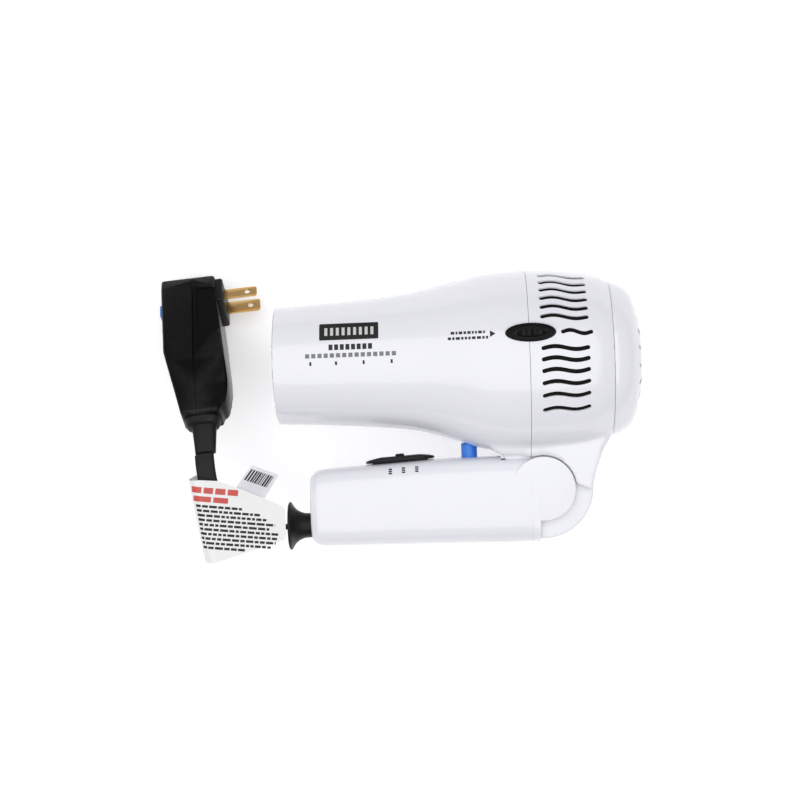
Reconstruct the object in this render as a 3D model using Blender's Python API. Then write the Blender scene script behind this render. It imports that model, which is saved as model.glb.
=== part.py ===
"""Folding hair dryer with a cord reel in its body, lying on its side with the handle folded.

Everything is drawn in millimetres in the dryer's own frame: X runs along the barrel to the rear, Y from the
handle to the top of the barrel, Z up, and z = 0 is the plane of symmetry. The root empty then lifts the dryer
onto its side. The plug and the switch are drawn in frames of their own, which empties carry and turn.
"""

import math

import bmesh
import bpy
from mathutils import Matrix, Vector

MM = 0.001
GAP = 0.3
WELD = 0.0005

# Place of the dryer's frame in the world: middle of its length and height, widest ring on the ground.
NOZZLE_X = -139.1
BACK_X = 59.6
TOP_Y = 49.7
LOWEST_Y = -99.3
GROUND_Z = -49.7
ROOT_AT = (-(NOZZLE_X + BACK_X) / 2, -(TOP_Y + LOWEST_Y) / 2, -GROUND_Z)

# Barrel: (x, outer radius) from the nozzle to the seam of the rear cap.
BARREL = [
    (-139.1, 31.3), (-138.3, 31.75), (-119.0, 32.6), (-90.0, 34.5), (-66.5, 37.0), (-53.4, 40.2),
    (-39.3, 44.3), (-26.0, 48.0), (-9.0, 49.7), (8.7, 49.1), (26.0, 47.4), (36.0, 45.2), (43.0, 42.4),
]
WALL = 2.2
SEAM_X = -1.7
BARREL_SEGMENTS = 32

# Intake slots on each side, about the line that runs through the retract button.
BUTTON_ANGLE = 16.7
SLOT_STEPS = (10.2, 17.1, 24.2, 31.8, 39.9, 49.8)
SLOT_START, SLOT_END = 4.3, 30.0
SHORT_SLOT = (14.9, 32.0)
SLOT_WIDTH = 2.3
SLOT_WAVE = 0.9

# Hinge and neck.
PIVOT = (4.3, -69.5)
EAR_RADIUS = 17.4
EAR_INNER_Z, EAR_OUTER_Z = 12.6, 18.5
KNUCKLE_RADIUS = 27.2
KNUCKLE_HALF = 12.0
KNUCKLE_BORE = 4.4
NECK_HALF = 18.5
NECK_REAR = [(33.4, -59.0), (37.8, -48.5), (42.0, -42.6), (38.0, -36.0)]

# Handle: (x, y of the inner face, y of the outer face, half width).
HANDLE_STATIONS = [
    (-122.7, -61.5, -91.5, 12.5), (-121.6, -58.3, -94.8, 15.4), (-119.0, -56.3, -96.9, 17.2),
    (-112.0, -55.1, -97.6, 18.0), (-54.0, -51.8, -98.2, 18.6), (-18.0, -51.4, -98.7, 18.9),
    (-2.0, -51.5, -98.7, 18.9), (-1.9, -60.0, -98.7, 18.9), (2.1, -60.0, -98.7, 18.9),
]
HANDLE_WALL = 2.0
HANDLE_POWER = 2.0 / 3.4
SKIN_RADIUS = 27.7

# Switch and cool-shot button, on the handle's inner face.
SWITCH_AT = (-73.2, -52.85)
SWITCH_SLOPE = math.atan2(3.3, 58.0)
COOL_X = -35.2
COOL_RADIUS = 4.4
COOL_TOP_Y = -43.6
SCALLOP_X = COOL_X - 1.6

# Cord, flat, and the trumpet that guides it out of the handle.
CORD_WIDTH, CORD_THICK = 10.5, 2.8
CORD_Y = -86.2
MOUTH_X = -135.6

# Plug: its middle, the tilt that lifts its cord end, and its turn on the ground.
PLUG_TILT = math.radians(34.5)
PLUG_TURN = math.radians(4.6)
PLUG_XY = (-190.4, 16.0)
PLUG_END_H, PLUG_END_S = 38.4, 12.8
PLUG_LIFT = PLUG_END_H * math.sin(PLUG_TILT) + PLUG_END_S * math.cos(PLUG_TILT) + 0.1
PLUG_PARTING = 4.9
BLADE_H = 28.0
BLADE_S = 6.35
BOOT_POWER = 0.7

# Free cord, from inside the trumpet to the boot of the plug.
CORD_ROUTE = [
    (-126.0, -86.2, 0.0), (-132.6, -86.3, 0.1), (-139.0, -86.6, 0.8), (-145.4, -86.9, 2.4),
    (-151.8, -86.6, 5.0), (-158.0, -85.2, 8.4), (-163.8, -82.4, 12.3), (-168.8, -77.8, 16.2),
    (-172.6, -71.8, 19.6), (-175.2, -65.0, 21.9), (-176.9, -58.0, 22.9), (-177.9, -51.0, 22.3),
    (-178.5, -44.9, 20.6),
]
CORD_TILTS = [0, 0, 0, 4, 12, 24, 38, 54, 68, 79, 86, 90, 90]

# Tags on the cord.
TAG_THICK = 0.5
TAG_FOLD = 12.5

MATERIALS = {
    "white": ((0.83, 0.83, 0.86), 0.22, 0.0),
    "black": ((0.02, 0.02, 0.022), 0.38, 0.0),
    "rubber": ((0.015, 0.015, 0.016), 0.55, 0.0),
    "blue": ((0.02, 0.19, 0.72), 0.3, 0.0),
    "red": ((0.58, 0.03, 0.03), 0.35, 0.0),
    "brass": ((0.78, 0.5, 0.2), 0.25, 1.0),
    "steel": ((0.6, 0.6, 0.62), 0.3, 1.0),
    "copper": ((0.72, 0.35, 0.18), 0.3, 1.0),
    "mica": ((0.6, 0.52, 0.4), 0.5, 0.0),
    "mesh": ((0.03, 0.03, 0.03), 0.6, 0.0),
    "board": ((0.03, 0.22, 0.08), 0.5, 0.0),
    "label": ((0.9, 0.9, 0.9), 0.4, 0.0),
    "foil": ((0.72, 0.72, 0.75), 0.3, 0.6),
}


def clear_scene():
    for found in list(bpy.data.objects):
        bpy.data.objects.remove(found, do_unlink=True)


def make_materials():
    """One Principled material for each finish."""
    made = {}
    for name, (colour, roughness, metallic) in MATERIALS.items():
        finish = bpy.data.materials.new(name)
        finish.use_nodes = True
        shader = finish.node_tree.nodes["Principled BSDF"]
        shader.inputs["Base Color"].default_value = (*colour, 1.0)
        shader.inputs["Roughness"].default_value = roughness
        shader.inputs["Metallic"].default_value = metallic
        made[name] = finish
    return made


class Frame:
    """An empty that carries pieces, with the design point that it stands on."""

    def __init__(self, name, at=(0.0, 0.0, 0.0), parent=None, turn=None):
        self.at = Vector(at)
        self.empty = bpy.data.objects.new(name, None)
        bpy.context.scene.collection.objects.link(self.empty)
        if parent:
            self.empty.parent = parent.empty
            self.empty.location = (self.at - parent.at) * MM
        else:
            self.empty.location = self.at * MM
        if turn:
            self.empty.rotation_euler = turn.to_euler()


# Solids, in millimetres.


def solid(name, bm):
    bmesh.ops.recalc_face_normals(bm, faces=bm.faces)
    mesh = bpy.data.meshes.new(name)
    bm.to_mesh(mesh)
    bm.free()
    made = bpy.data.objects.new(name, mesh)
    bpy.context.scene.collection.objects.link(made)
    return made


def turned(name, profile, segments=24, axis="X", centre=(0.0, 0.0, 0.0)):
    """Spin (along, radius) points about an axis. A profile whose ends lie on the axis stays open there."""
    bm = bmesh.new()
    points = [bm.verts.new((along, radius, 0.0)) for along, radius in profile]
    edges = [bm.edges.new(pair) for pair in zip(points, points[1:])]
    if profile[0][1] > 0.0:
        edges.append(bm.edges.new((points[-1], points[0])))
    bmesh.ops.spin(
        bm,
        geom=points + edges,
        axis=(1, 0, 0),
        cent=(0, 0, 0),
        angle=2 * math.pi,
        steps=segments,
        use_merge=True,
    )
    bmesh.ops.remove_doubles(bm, verts=bm.verts, dist=WELD)
    made = solid(name, bm)
    quarter = math.pi / 2
    turns = {
        "X": Matrix.Identity(4),
        "Y": Matrix.Rotation(quarter, 4, "Z"),
        "Z": Matrix.Rotation(-quarter, 4, "Y"),
    }
    made.data.transform(Matrix.Translation(centre) @ turns[axis])
    return made


def prism(name, outline, low, high, axis="Z"):
    """Extrude an outline: (x, y) along Z, (y, z) along X, or (z, x) along Y."""
    bm = bmesh.new()
    face = bm.faces.new([bm.verts.new((u, v, low)) for u, v in outline])
    raised = bmesh.ops.extrude_face_region(bm, geom=[face])
    lifted = [item for item in raised["geom"] if isinstance(item, bmesh.types.BMVert)]
    bmesh.ops.translate(bm, verts=lifted, vec=(0, 0, high - low))
    made = solid(name, bm)
    if axis == "X":
        made.data.transform(Matrix(((0, 0, 1, 0), (1, 0, 0, 0), (0, 1, 0, 0), (0, 0, 0, 1))))
    if axis == "Y":
        made.data.transform(Matrix(((0, 1, 0, 0), (0, 0, 1, 0), (1, 0, 0, 0), (0, 0, 0, 1))))
    return made


def block(name, low, high, bevel=0.0, segments=1):
    """A box between two corners, with all its edges bevelled if asked."""
    bm = bmesh.new()
    bmesh.ops.create_cube(bm, size=1.0)
    size = [b - a for a, b in zip(low, high)]
    middle = [(a + b) / 2 for a, b in zip(low, high)]
    bmesh.ops.scale(bm, vec=size, verts=bm.verts)
    bmesh.ops.translate(bm, vec=middle, verts=bm.verts)
    if bevel:
        bmesh.ops.bevel(bm, geom=bm.edges, offset=bevel, segments=segments, profile=0.5, affect="EDGES")
    return solid(name, bm)


def rod(name, start, end, radius, segments=12):
    start, end = Vector(start), Vector(end)
    along = end - start
    matrix = Matrix.Translation((start + end) / 2) @ along.to_track_quat("Z", "Y").to_matrix().to_4x4()
    bm = bmesh.new()
    bmesh.ops.create_cone(
        bm, cap_ends=True, segments=segments, radius1=radius, radius2=radius, depth=along.length, matrix=matrix
    )
    return solid(name, bm)


def loft(name, rings):
    """Join rings of equally many points with quads, and close both ends."""
    bm = bmesh.new()
    rows = [[bm.verts.new(point) for point in ring] for ring in rings]
    count = len(rows[0])
    for row, following in zip(rows, rows[1:]):
        for i in range(count):
            j = (i + 1) % count
            bm.faces.new((row[i], row[j], following[j], following[i]))
    bm.faces.new(rows[0])
    bm.faces.new(rows[-1])
    return solid(name, bm)


def arc(centre, radius, start, end, count):
    """Points on an arc, angles in degrees."""
    angles = [math.radians(start + (end - start) * i / (count - 1)) for i in range(count)]
    return [(centre[0] + radius * math.cos(a), centre[1] + radius * math.sin(a)) for a in angles]


def squared(value, power):
    """A sine or cosine raised to a power with its sign kept, which squares off a round section."""
    return math.copysign(abs(value) ** power, value)


def apply_modifiers(target):
    bpy.context.view_layer.update()
    graph = bpy.context.evaluated_depsgraph_get()
    mesh = bpy.data.meshes.new_from_object(target.evaluated_get(graph))
    target.modifiers.clear()
    target.data = mesh


def boolean(target, tool, operation):
    """Apply one exact Boolean and remove its tool."""
    modifier = target.modifiers.new(operation.lower(), "BOOLEAN")
    modifier.operation = operation
    modifier.solver = "EXACT"
    modifier.object = tool
    apply_modifiers(target)
    bpy.data.objects.remove(tool, do_unlink=True)
    return target


def join(target, *tools):
    for tool in tools:
        boolean(target, tool, "UNION")
    return target


def cut(target, *tools):
    for tool in tools:
        boolean(target, tool, "DIFFERENCE")
    return target


def copy_of(source, name):
    made = source.copy()
    made.data = source.data.copy()
    made.name = name
    bpy.context.scene.collection.objects.link(made)
    return made


def turn_about_x(target, degrees):
    target.data.transform(Matrix.Rotation(math.radians(degrees), 4, "X"))
    return target


def merged(name, pieces):
    """Put pieces that don't touch into one cutter."""
    bm = bmesh.new()
    for piece in pieces:
        bm.from_mesh(piece.data)
        bpy.data.objects.remove(piece, do_unlink=True)
    return solid(name, bm)


def place(target, frame, finish, origin=None):
    """Give a finished piece its material, its smooth shading, its origin and its frame, in metres."""
    origin = frame.at if origin is None else Vector(origin)
    target.data.transform(Matrix.Scale(MM, 4) @ Matrix.Translation(-origin))
    target.data.materials.clear()
    target.data.materials.append(FINISHES[finish])
    target.data.shade_smooth()
    target.data.set_sharp_from_angle(angle=math.radians(30))
    target.parent = frame.empty
    target.location = (origin - frame.at) * MM
    return target


# Housing.


def barrel_inner():
    return [(x, radius - WALL) for x, radius in BARREL]


def neck_outline(step):
    """Wide part of the neck, round the ears: grown inwards by step for its cavity."""
    rear = [(x - step * 0.95, y + step * 0.3) for x, y in NECK_REAR]
    ears = arc(PIVOT, EAR_RADIUS + 0.5 + step, 108, 7, 12)
    front = [(-24.0 + step, -36.0), (-23.5 + step, -46.8), (-17.6 + step, -50.9 + step), (-8.0, -50.9 + step)]
    return front + ears + [(30.4 - step, -71.0 + step)] + rear


def knuckle_outline():
    rear = [NECK_REAR[0], NECK_REAR[1], (36.0, -36.0)]
    front = [(-17.2, -36.0), (-17.2, -51.2), (-9.6, -62.2), (-9.6, -69.5), (-5.0, -80.0)]
    return front + [(0.9, -95.0)] + arc(PIVOT, KNUCKLE_RADIUS, -95, 0, 12) + rear


def knuckle_cavity():
    inner = KNUCKLE_RADIUS - WALL
    rear = [(NECK_REAR[0][0] - WALL, -59.0), (NECK_REAR[1][0] - WALL, -48.5), (33.0, -34.0)]
    front = [(-15.0, -34.0), (-15.0, -50.6), (-5.8, -63.5), (-20.0, -63.5), (-20.0, -100.0), (1.0, -100.0)]
    return front + arc(PIVOT, inner, -97, 0, 12) + rear


def slot_cutter(angle, start, end, side):
    """One wavy slot, cut along the radius at an angle above the horizontal on one side."""
    bends = 4
    upper, lower = [], []
    for i in range(bends + 1):
        share = i / bends
        x = start + (end - start) * share
        wave = SLOT_WAVE * math.sin(2 * math.pi * share)
        upper.append((x, wave + SLOT_WIDTH / 2))
        lower.append((x, wave - SLOT_WIDTH / 2))
    made = prism("slot", lower + upper[::-1], 41.0, 55.0)
    made.data.transform(Matrix.Scale(side, 4, (0, 0, 1)))
    turn = -angle if side > 0 else angle
    return turn_about_x(made, turn)


def slots():
    pieces = []
    for side in (1, -1):
        for step in SLOT_STEPS:
            for sign in (1, -1):
                pieces.append(slot_cutter(BUTTON_ANGLE + sign * step, SLOT_START, SLOT_END, side))
        pieces.append(slot_cutter(BUTTON_ANGLE, *SHORT_SLOT, side))
    return merged("slots", pieces)


def retract_outline(grow, count=20):
    return [
        ((13.5 + grow) * math.cos(2 * math.pi * i / count) - 0.2, (5.1 + grow) * math.sin(2 * math.pi * i / count))
        for i in range(count)
    ]


def screw_axes():
    """(y, z) of the two screws that pull the housing together through the neck."""
    return [(-44.3, 12.0), (-44.3, -12.0)]


def build_housing(root):
    outer = turned("outer", [(BARREL[0][0], 0.0)] + BARREL + [(BARREL[-1][0], 0.0)], BARREL_SEGMENTS)
    join(outer, prism("neck", neck_outline(0.0), -NECK_HALF, NECK_HALF))
    join(outer, prism("knuckle", knuckle_outline(), -KNUCKLE_HALF, KNUCKLE_HALF))
    scallop_at = (SCALLOP_X, 0.0, 0.0)
    scallop = [(-60.0, 0.0), (-60.0, 8.2), (-42.9, 7.4), (-42.9, 0.0)]
    cut(outer, turned("scallop", scallop, 20, "Y", scallop_at))

    bore = barrel_inner()
    hollow = [(-150.0, 0.0), (-150.0, bore[0][1])] + bore[1:] + [(50.0, bore[-1][1]), (50.0, 0.0)]
    inner = turned("inner", hollow, BARREL_SEGMENTS)
    join(inner, prism("neck", neck_outline(WALL), -NECK_HALF + WALL, NECK_HALF - WALL))
    join(inner, prism("knuckle", knuckle_cavity(), -KNUCKLE_HALF + WALL, KNUCKLE_HALF - WALL))
    pad = [(-60.0, 0.0), (-60.0, 10.2), (-40.9, 9.4), (-40.9, 0.0)]
    cut(inner, turned("pad", pad, 20, "Y", scallop_at))
    for y, z in screw_axes():
        cut(inner, rod("boss", (-23.0, y, z), (42.0, y, z), 3.6, 12))

    shell = cut(outer, inner)
    for y, z in screw_axes():
        cut(shell, rod("screw_hole", (-14.0, y, z), (34.0, y, z), 1.7, 10))
        cut(shell, rod("head_hole", (31.0, y, z), (60.0, y, z), 2.7, 12))
    cut(shell, turn_about_x(prism("button_hole", retract_outline(0.4), 42.0, 56.0), -BUTTON_ANGLE))
    cut(shell, rod("pin_hole", (*PIVOT, -30.0), (*PIVOT, 30.0), KNUCKLE_BORE, 16))

    front = copy_of(shell, "front_housing")
    cut(front, block("rear_half", (SEAM_X - GAP / 2, -150, -100), (200, 100, 100)))
    rear = shell
    rear.name = "rear_housing"
    cut(rear, block("front_half", (-200, -150, -100), (SEAM_X + GAP / 2, 100, 100)))
    cut(rear, slots())
    place(front, root, "white")
    place(rear, root, "white")
    for number, (y, z) in enumerate(screw_axes(), 1):
        profile = [(-12.0, 0.0), (-12.0, 1.35), (31.4, 1.35), (31.4, 2.3), (33.2, 2.3), (33.2, 0.0)]
        screw = turned("housing_screw_%d" % number, profile, 10)
        screw.data.transform(Matrix.Translation((0.0, y, z)))
        place(screw, root, "steel", (0.0, y, z))


def build_rear(root):
    cap = turned(
        "rear_cap",
        [
            (43.3, 41.6), (47.5, 40.5), (51.0, 39.1), (54.2, 36.2), (56.5, 31.8), (56.5, 29.9), (54.5, 29.9),
            (52.4, 34.4), (49.6, 36.7), (43.3, 39.2),
        ],
        BARREL_SEGMENTS,
    )
    place(cap, root, "white")
    grille = turned(
        "rear_grille",
        [
            (BACK_X, 0.0), (BACK_X, 16.8), (59.0, 21.5), (57.2, 26.5), (55.0, 29.5), (53.2, 29.5), (55.4, 25.2),
            (57.2, 20.4), (57.8, 15.8), (57.8, 0.0),
        ],
        BARREL_SEGMENTS,
    )
    bars = 16
    openings = []
    for i in range(bars):
        opening = block("opening", (50.0, 9.0, -1.1), (62.0, 26.0, 1.1))
        openings.append(turn_about_x(opening, 360.0 * (i + 0.5) / bars))
    cut(grille, merged("openings", openings))
    place(grille, root, "white")
    place(turned("lint_screen", [(44.0, 0.0), (44.0, 37.8), (44.8, 37.8), (44.8, 0.0)], 24), root, "mesh")
    sleeve = turned("intake_screen", [(3.0, 43.0), (3.0, 43.6), (33.0, 41.4), (33.0, 40.8)], 24)
    cut(sleeve, block("neck_window", (2.0, -60.0, -30.0), (40.0, -25.0, 30.0)))
    place(sleeve, root, "mesh")


def build_heater(root):
    grille = turned("outlet_grille", [(-134.5, 26.5), (-134.5, 28.9), (-131.5, 28.9), (-131.5, 26.5)], 24)
    for radius in (9.0, 18.0):
        ring = [(-134.5, radius - 0.9), (-134.5, radius + 0.9), (-131.5, radius + 0.9), (-131.5, radius - 0.9)]
        join(grille, turned("ring", ring, 16))
    for i in range(3):
        join(grille, turn_about_x(block("bar", (-134.2, -27.5, -0.7), (-131.8, 27.5, 0.7)), 60 * i))
    place(grille, root, "black")
    place(turned("mica_sleeve", [(-126.0, 26.6), (-126.0, 27.1), (-57.0, 27.1), (-57.0, 26.6)], 32), root, "mica")
    cross = block("mica_cross", (-122.0, -24.4, -0.4), (-58.0, 24.4, 0.4))
    join(cross, block("plate", (-122.5, -0.4, -24.4), (-57.5, 0.4, 24.4)))
    place(cross, root, "mica")
    place(rod("thermal_fuse", (-74.0, 2.8, 15.0), (-64.0, 2.8, 15.0), 1.6, 10), root, "steel")
    wire_coil("heating_coil", root, 25.5, -118.0, -66.0, 8, 0.5)


def wire_coil(name, frame, radius, start, end, turns, wire):
    """A round winding about X, as a bevelled curve with a point every 30 degrees."""
    steps = turns * 12
    curve = bpy.data.curves.new(name, "CURVE")
    curve.dimensions = "3D"
    curve.bevel_depth = wire * MM
    curve.bevel_resolution = 0
    curve.use_fill_caps = True
    spline = curve.splines.new("POLY")
    spline.points.add(steps)
    for i, point in enumerate(spline.points):
        angle = 2 * math.pi * i / 12
        x = start + (end - start) * i / steps
        point.co = (x * MM, radius * math.cos(angle) * MM, radius * math.sin(angle) * MM, 1.0)
    curve.materials.append(FINISHES["copper"])
    made = bpy.data.objects.new(name, curve)
    bpy.context.scene.collection.objects.link(made)
    made.parent = frame.empty


def build_fan(root):
    can = [
        (-48.0, 1.9), (-48.0, 13.5), (-16.0, 13.5), (-16.0, 1.9), (-17.0, 1.9), (-17.0, 12.5), (-47.0, 12.5),
        (-47.0, 1.9),
    ]
    place(turned("motor_can", can, 20), root, "steel")
    rotor = [
        (-50.0, 0.0), (-50.0, 1.5), (-44.0, 1.5), (-44.0, 9.5), (-20.0, 9.5), (-20.0, 1.5), (-1.5, 1.5),
        (-1.5, 0.0),
    ]
    place(turned("motor_rotor", rotor, 16), root, "copper")
    fan = turned("fan_impeller", [(-12.0, 1.8), (-12.0, 8.0), (-3.0, 6.5), (-3.0, 1.8)], 20)
    for i in range(7):
        blade = block("blade", (-5.0, 6.0, -0.6), (5.0, 35.8, 0.6))
        blade.data.transform(Matrix.Rotation(math.radians(38), 4, "Y"))
        blade.data.transform(Matrix.Translation((-7.6, 0.0, 0.0)))
        join(fan, turn_about_x(blade, 360 * i / 7))
    place(fan, root, "black")
    guide = turned(
        "air_guide",
        [(-46.0, 37.0), (-46.0, 39.6), (-44.5, 39.6), (-44.5, 38.2), (0.0, 38.2), (0.0, 37.0)],
        24,
    )
    join(guide, turned("cup", [(-46.0, 13.8), (-46.0, 15.2), (-19.0, 15.2), (-19.0, 13.8)], 20))
    for i in range(6):
        join(guide, turn_about_x(block("vane", (-44.0, 14.4, -0.6), (-22.0, 37.6, 0.6)), 60 * i + 30))
    place(guide, root, "black")


def build_reel(root):
    bracket = turned("reel_bracket", [(0.6, 3.3), (0.6, 39.0), (2.4, 39.0), (2.4, 3.3)], 28)
    for i in range(4):
        cut(bracket, turn_about_x(block("window", (-1.0, 10.0, 5.0), (4.0, 25.0, 25.0)), 90 * i))
    place(bracket, root, "black")
    place(rod("reel_axle", (-0.6, 0, 0), (33.5, 0, 0), 3.0, 12), root, "steel")
    drum = [
        (5.4, 3.4), (5.4, 39.5), (6.8, 39.5), (6.8, 12.2), (21.0, 12.2), (21.0, 39.5), (22.2, 39.5), (22.2, 3.4),
    ]
    place(turned("reel_drum", drum, 24), root, "black")
    place(turned("wound_cord", [(8.6, 12.6), (8.6, 38.5), (19.2, 38.5), (19.2, 12.6)], 24), root, "rubber")
    case = turned(
        "reel_spring_case",
        [(22.8, 3.4), (22.8, 22.0), (31.0, 22.0), (31.0, 20.6), (24.0, 20.6), (24.0, 3.4)],
        24,
    )
    for i in range(3):
        join(case, turn_about_x(block("arm", (24.5, 21.4, -3.0), (27.0, 39.8, 3.0)), 120 * i + 90))
    place(case, root, "black")
    place(turned("reel_spring", [(24.6, 4.2), (24.6, 19.8), (30.4, 19.8), (30.4, 4.2)], 20), root, "steel")

    lever = block("brake_lever", (-9.6, -2.2, 40.2), (7.0, 2.2, 41.4))
    join(lever, rod("trunnion", (1.0, -5.5, 40.8), (1.0, 5.5, 40.8), 0.9, 10))
    side, up = math.sin(math.radians(BUTTON_ANGLE)), math.cos(math.radians(BUTTON_ANGLE))
    place(turn_about_x(lever, -BUTTON_ANGLE), root, "black", (1.0, 40.8 * side, 40.8 * up))

    button = prism("retract_button", retract_outline(0.0), 45.6, 51.1)
    dish = prism("dish", [(x * 0.72, y * 0.66) for x, y in retract_outline(0.0)], 50.3, 53.0)
    cut(button, dish)
    join(button, block("stem", (-9.0, -2.0, 41.9), (-7.0, 2.0, 46.5)))
    place(turn_about_x(button, -BUTTON_ANGLE), root, "black", (-0.2, 49.0 * side, 49.0 * up))


# Handle.


def handle_ring(x, top, bottom, half, inset=0.0):
    """Rounded section of the handle across X."""
    count = 24
    middle = (top + bottom) / 2
    tall = (top - bottom) / 2 - inset
    wide = half - inset
    ring = []
    for i in range(count):
        angle = 2 * math.pi * (i + 0.5) / count
        y = middle + tall * squared(math.sin(angle), HANDLE_POWER)
        z = wide * squared(math.cos(angle), HANDLE_POWER)
        ring.append((x, y, z))
    return ring


def handle_cavity():
    """Room inside the handle: its length, and the round room in which the knuckle turns."""
    room = loft("room", [handle_ring(*station, HANDLE_WALL) for station in HANDLE_STATIONS[2:6]])
    turning = arc(PIVOT, SKIN_RADIUS, 180, 272, 14)
    turning += [(60.0, -97.0), (60.0, -30.0), (-18.1, -30.0), (-18.1, -53.6), (-23.4, -53.6)]
    join(room, prism("turning_room", turning, -EAR_INNER_Z, EAR_INNER_Z))
    return room


def handle_screw_axes():
    return [(-93.0, -77.0), (-48.0, -75.0)]


def build_handle_shells(handle):
    body = loft("body", [handle_ring(*station) for station in HANDLE_STATIONS])
    join(body, rod("ears", (*PIVOT, -EAR_OUTER_Z), (*PIVOT, EAR_OUTER_Z), EAR_RADIUS, 40))
    room = handle_cavity()
    for x, y in handle_screw_axes():
        cut(room, rod("boss", (x, y, -30), (x, y, 30), 3.4, 12))
    cut(body, room)
    for x, y in handle_screw_axes():
        cut(body, rod("hole", (x, y, -30), (x, y, 12.0), 1.7, 10))
        cut(body, rod("head", (x, y, -30), (x, y, -15.4), 3.0, 12))
    cut(body, rod("trumpet_hole", (-130, CORD_Y, 0), (-115, CORD_Y, 0), 7.1, 20))
    cut(body, rod("cool_hole", (COOL_X, -60, 0), (COOL_X, -40, 0), COOL_RADIUS + 0.4, 16))
    cut(body, rod("pin_hole", (*PIVOT, -16.0), (*PIVOT, 16.0), KNUCKLE_BORE, 16))
    window = block("switch_window", (-15.5, -6.0, -6.3), (15.5, 6.0, 6.3))
    window.data.transform(Matrix.Translation((*SWITCH_AT, 0)) @ Matrix.Rotation(SWITCH_SLOPE, 4, "Z"))
    cut(body, window)

    left = copy_of(body, "handle_shell_left")
    cut(left, block("below", (-200, -150, -60), (60, 0, 0.15)))
    body.name = "handle_shell_right"
    cut(body, block("above", (-200, -150, -0.15), (60, 0, 60)))
    place(left, handle, "white")
    place(body, handle, "white")
    for number, (x, y) in enumerate(handle_screw_axes(), 1):
        profile = [(-17.4, 0.0), (-17.4, 2.6), (-15.7, 2.6), (-15.7, 1.35), (10.5, 1.35), (10.5, 0.0)]
        screw = turned("handle_screw_%d" % number, profile, 10, "Z", (x, y, 0))
        place(screw, handle, "steel", (x, y, 0.0))
    for name, side in (("hinge_pin_left", 1), ("hinge_pin_right", -1)):
        pin = turned(name, [(9.2, 2.6), (9.2, 4.1), (15.6, 4.1), (15.6, 2.6)], 16, "Z", (*PIVOT, 0))
        if side < 0:
            pin.data.transform(Matrix.Scale(-1, 4, (0, 0, 1)))
            pin.data.flip_normals()
        place(pin, handle, "steel", (*PIVOT, 0.0))


def build_controls(handle, switch):
    ends = arc((11.0, 0.0), 8.0, -90, 90, 9) + arc((-11.0, 0.0), 8.0, 90, 270, 9)
    bezel = prism("switch_bezel", [(z, x) for x, z in ends], 0.4, 2.4, "Y")
    join(bezel, block("skirt", (-15.0, -3.4, -5.8), (15.0, 1.0, 5.8)))
    cut(bezel, block("slot", (-9.2, -8.0, -2.6), (9.2, 8.0, 2.6)))
    place(bezel, switch, "black")
    slider = block("switch_slider", (-2.4, -3.0, -2.2), (2.4, 3.2, 2.2), 0.5)
    join(slider, block("shoe", (-6.0, -5.2, -4.6), (6.0, -3.8, 4.6)))
    join(slider, block("post", (-2.0, -4.4, -2.0), (2.0, -2.0, 2.0)))
    place(slider, switch, "black")
    place(block("switch_module", (-11.0, -17.0, -7.0), (11.0, -5.6, 7.0), 0.8), switch, "black")

    cool = [
        (-60.8, 0.0), (-60.8, 5.6), (-59.6, 5.6), (-59.6, COOL_RADIUS), (-44.4, COOL_RADIUS), (COOL_TOP_Y, 3.6),
        (COOL_TOP_Y, 0.0),
    ]
    place(turned("cool_shot_button", cool, 20, "Y", (COOL_X, 0, 0)), handle, "blue", (COOL_X, COOL_TOP_Y, 0.0))
    place(block("cool_shot_switch", (-41.0, -71.0, -5.0), (-31.6, -64.4, 5.0), 0.6), handle, "black")
    place(block("ion_module", (-116.0, -76.0, -9.0), (-100.0, -62.0, 9.0), 0.8), handle, "black")

    trumpet = [
        (MOUTH_X, 12.4), (MOUTH_X + 0.5, 13.1), (-134.2, 13.0), (-132.4, 10.2), (-130.4, 8.4), (-127.6, 7.1),
        (-125.0, 6.75), (-118.6, 6.75), (-118.6, 8.6), (-117.2, 8.6), (-117.2, 5.8), (-127.4, 5.8),
        (-130.0, 6.6), (-132.0, 8.2), (-134.2, 11.0),
    ]
    place(turned("cord_trumpet", trumpet, 20, "X", (0, CORD_Y, 0)), handle, "black")


def flat_cord(name, frame, route, tilts):
    """A flat cord along a route, as an extruded and bevelled curve whose wide side turns with the tilt."""
    curve = bpy.data.curves.new(name, "CURVE")
    curve.dimensions = "3D"
    curve.twist_mode = "Z_UP"
    curve.bevel_depth = CORD_THICK / 2 * MM
    curve.extrude = (CORD_WIDTH - CORD_THICK) / 2 * MM
    curve.bevel_resolution = 2
    curve.use_fill_caps = True
    spline = curve.splines.new("POLY")
    spline.points.add(len(route) - 1)
    for point, at, tilt in zip(spline.points, route, tilts):
        point.co = (*((Vector(at) - frame.at) * MM), 1.0)
        point.tilt = math.radians(tilt)
    curve.materials.append(FINISHES["rubber"])
    made = bpy.data.objects.new(name, curve)
    bpy.context.scene.collection.objects.link(made)
    made.parent = frame.empty


def build_inner_cord(root, handle):
    down = [(14.0, -40.8, 0.0), (12.6, -47.0, 0.0), (9.6, -53.5, 0.0), (6.4, -60.0, 0.0), (4.3, -66.6, 0.0)]
    flat_cord("cord_in_neck", root, down, [90, 70, 45, 15, 0])
    along = [
        (1.7, -68.8, 0.0), (-8.0, -66.2, 0.0), (-16.0, -63.4, 0.0), (-22.0, -62.6, 0.0), (-27.0, -65.6, 0.0),
        (-29.4, -72.0, 0.0), (-35.0, -79.4, 0.0), (-46.0, -84.4, 0.0), (-62.0, -86.2, 0.0), (-90.0, -86.2, 0.0),
        (-125.7, -86.2, 0.0),
    ]
    flat_cord("cord_in_handle", handle, along, [0] * len(along))


# Plug: b runs along the blades, h away from the cord, s across, as X, Y and Z of its frame.


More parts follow.
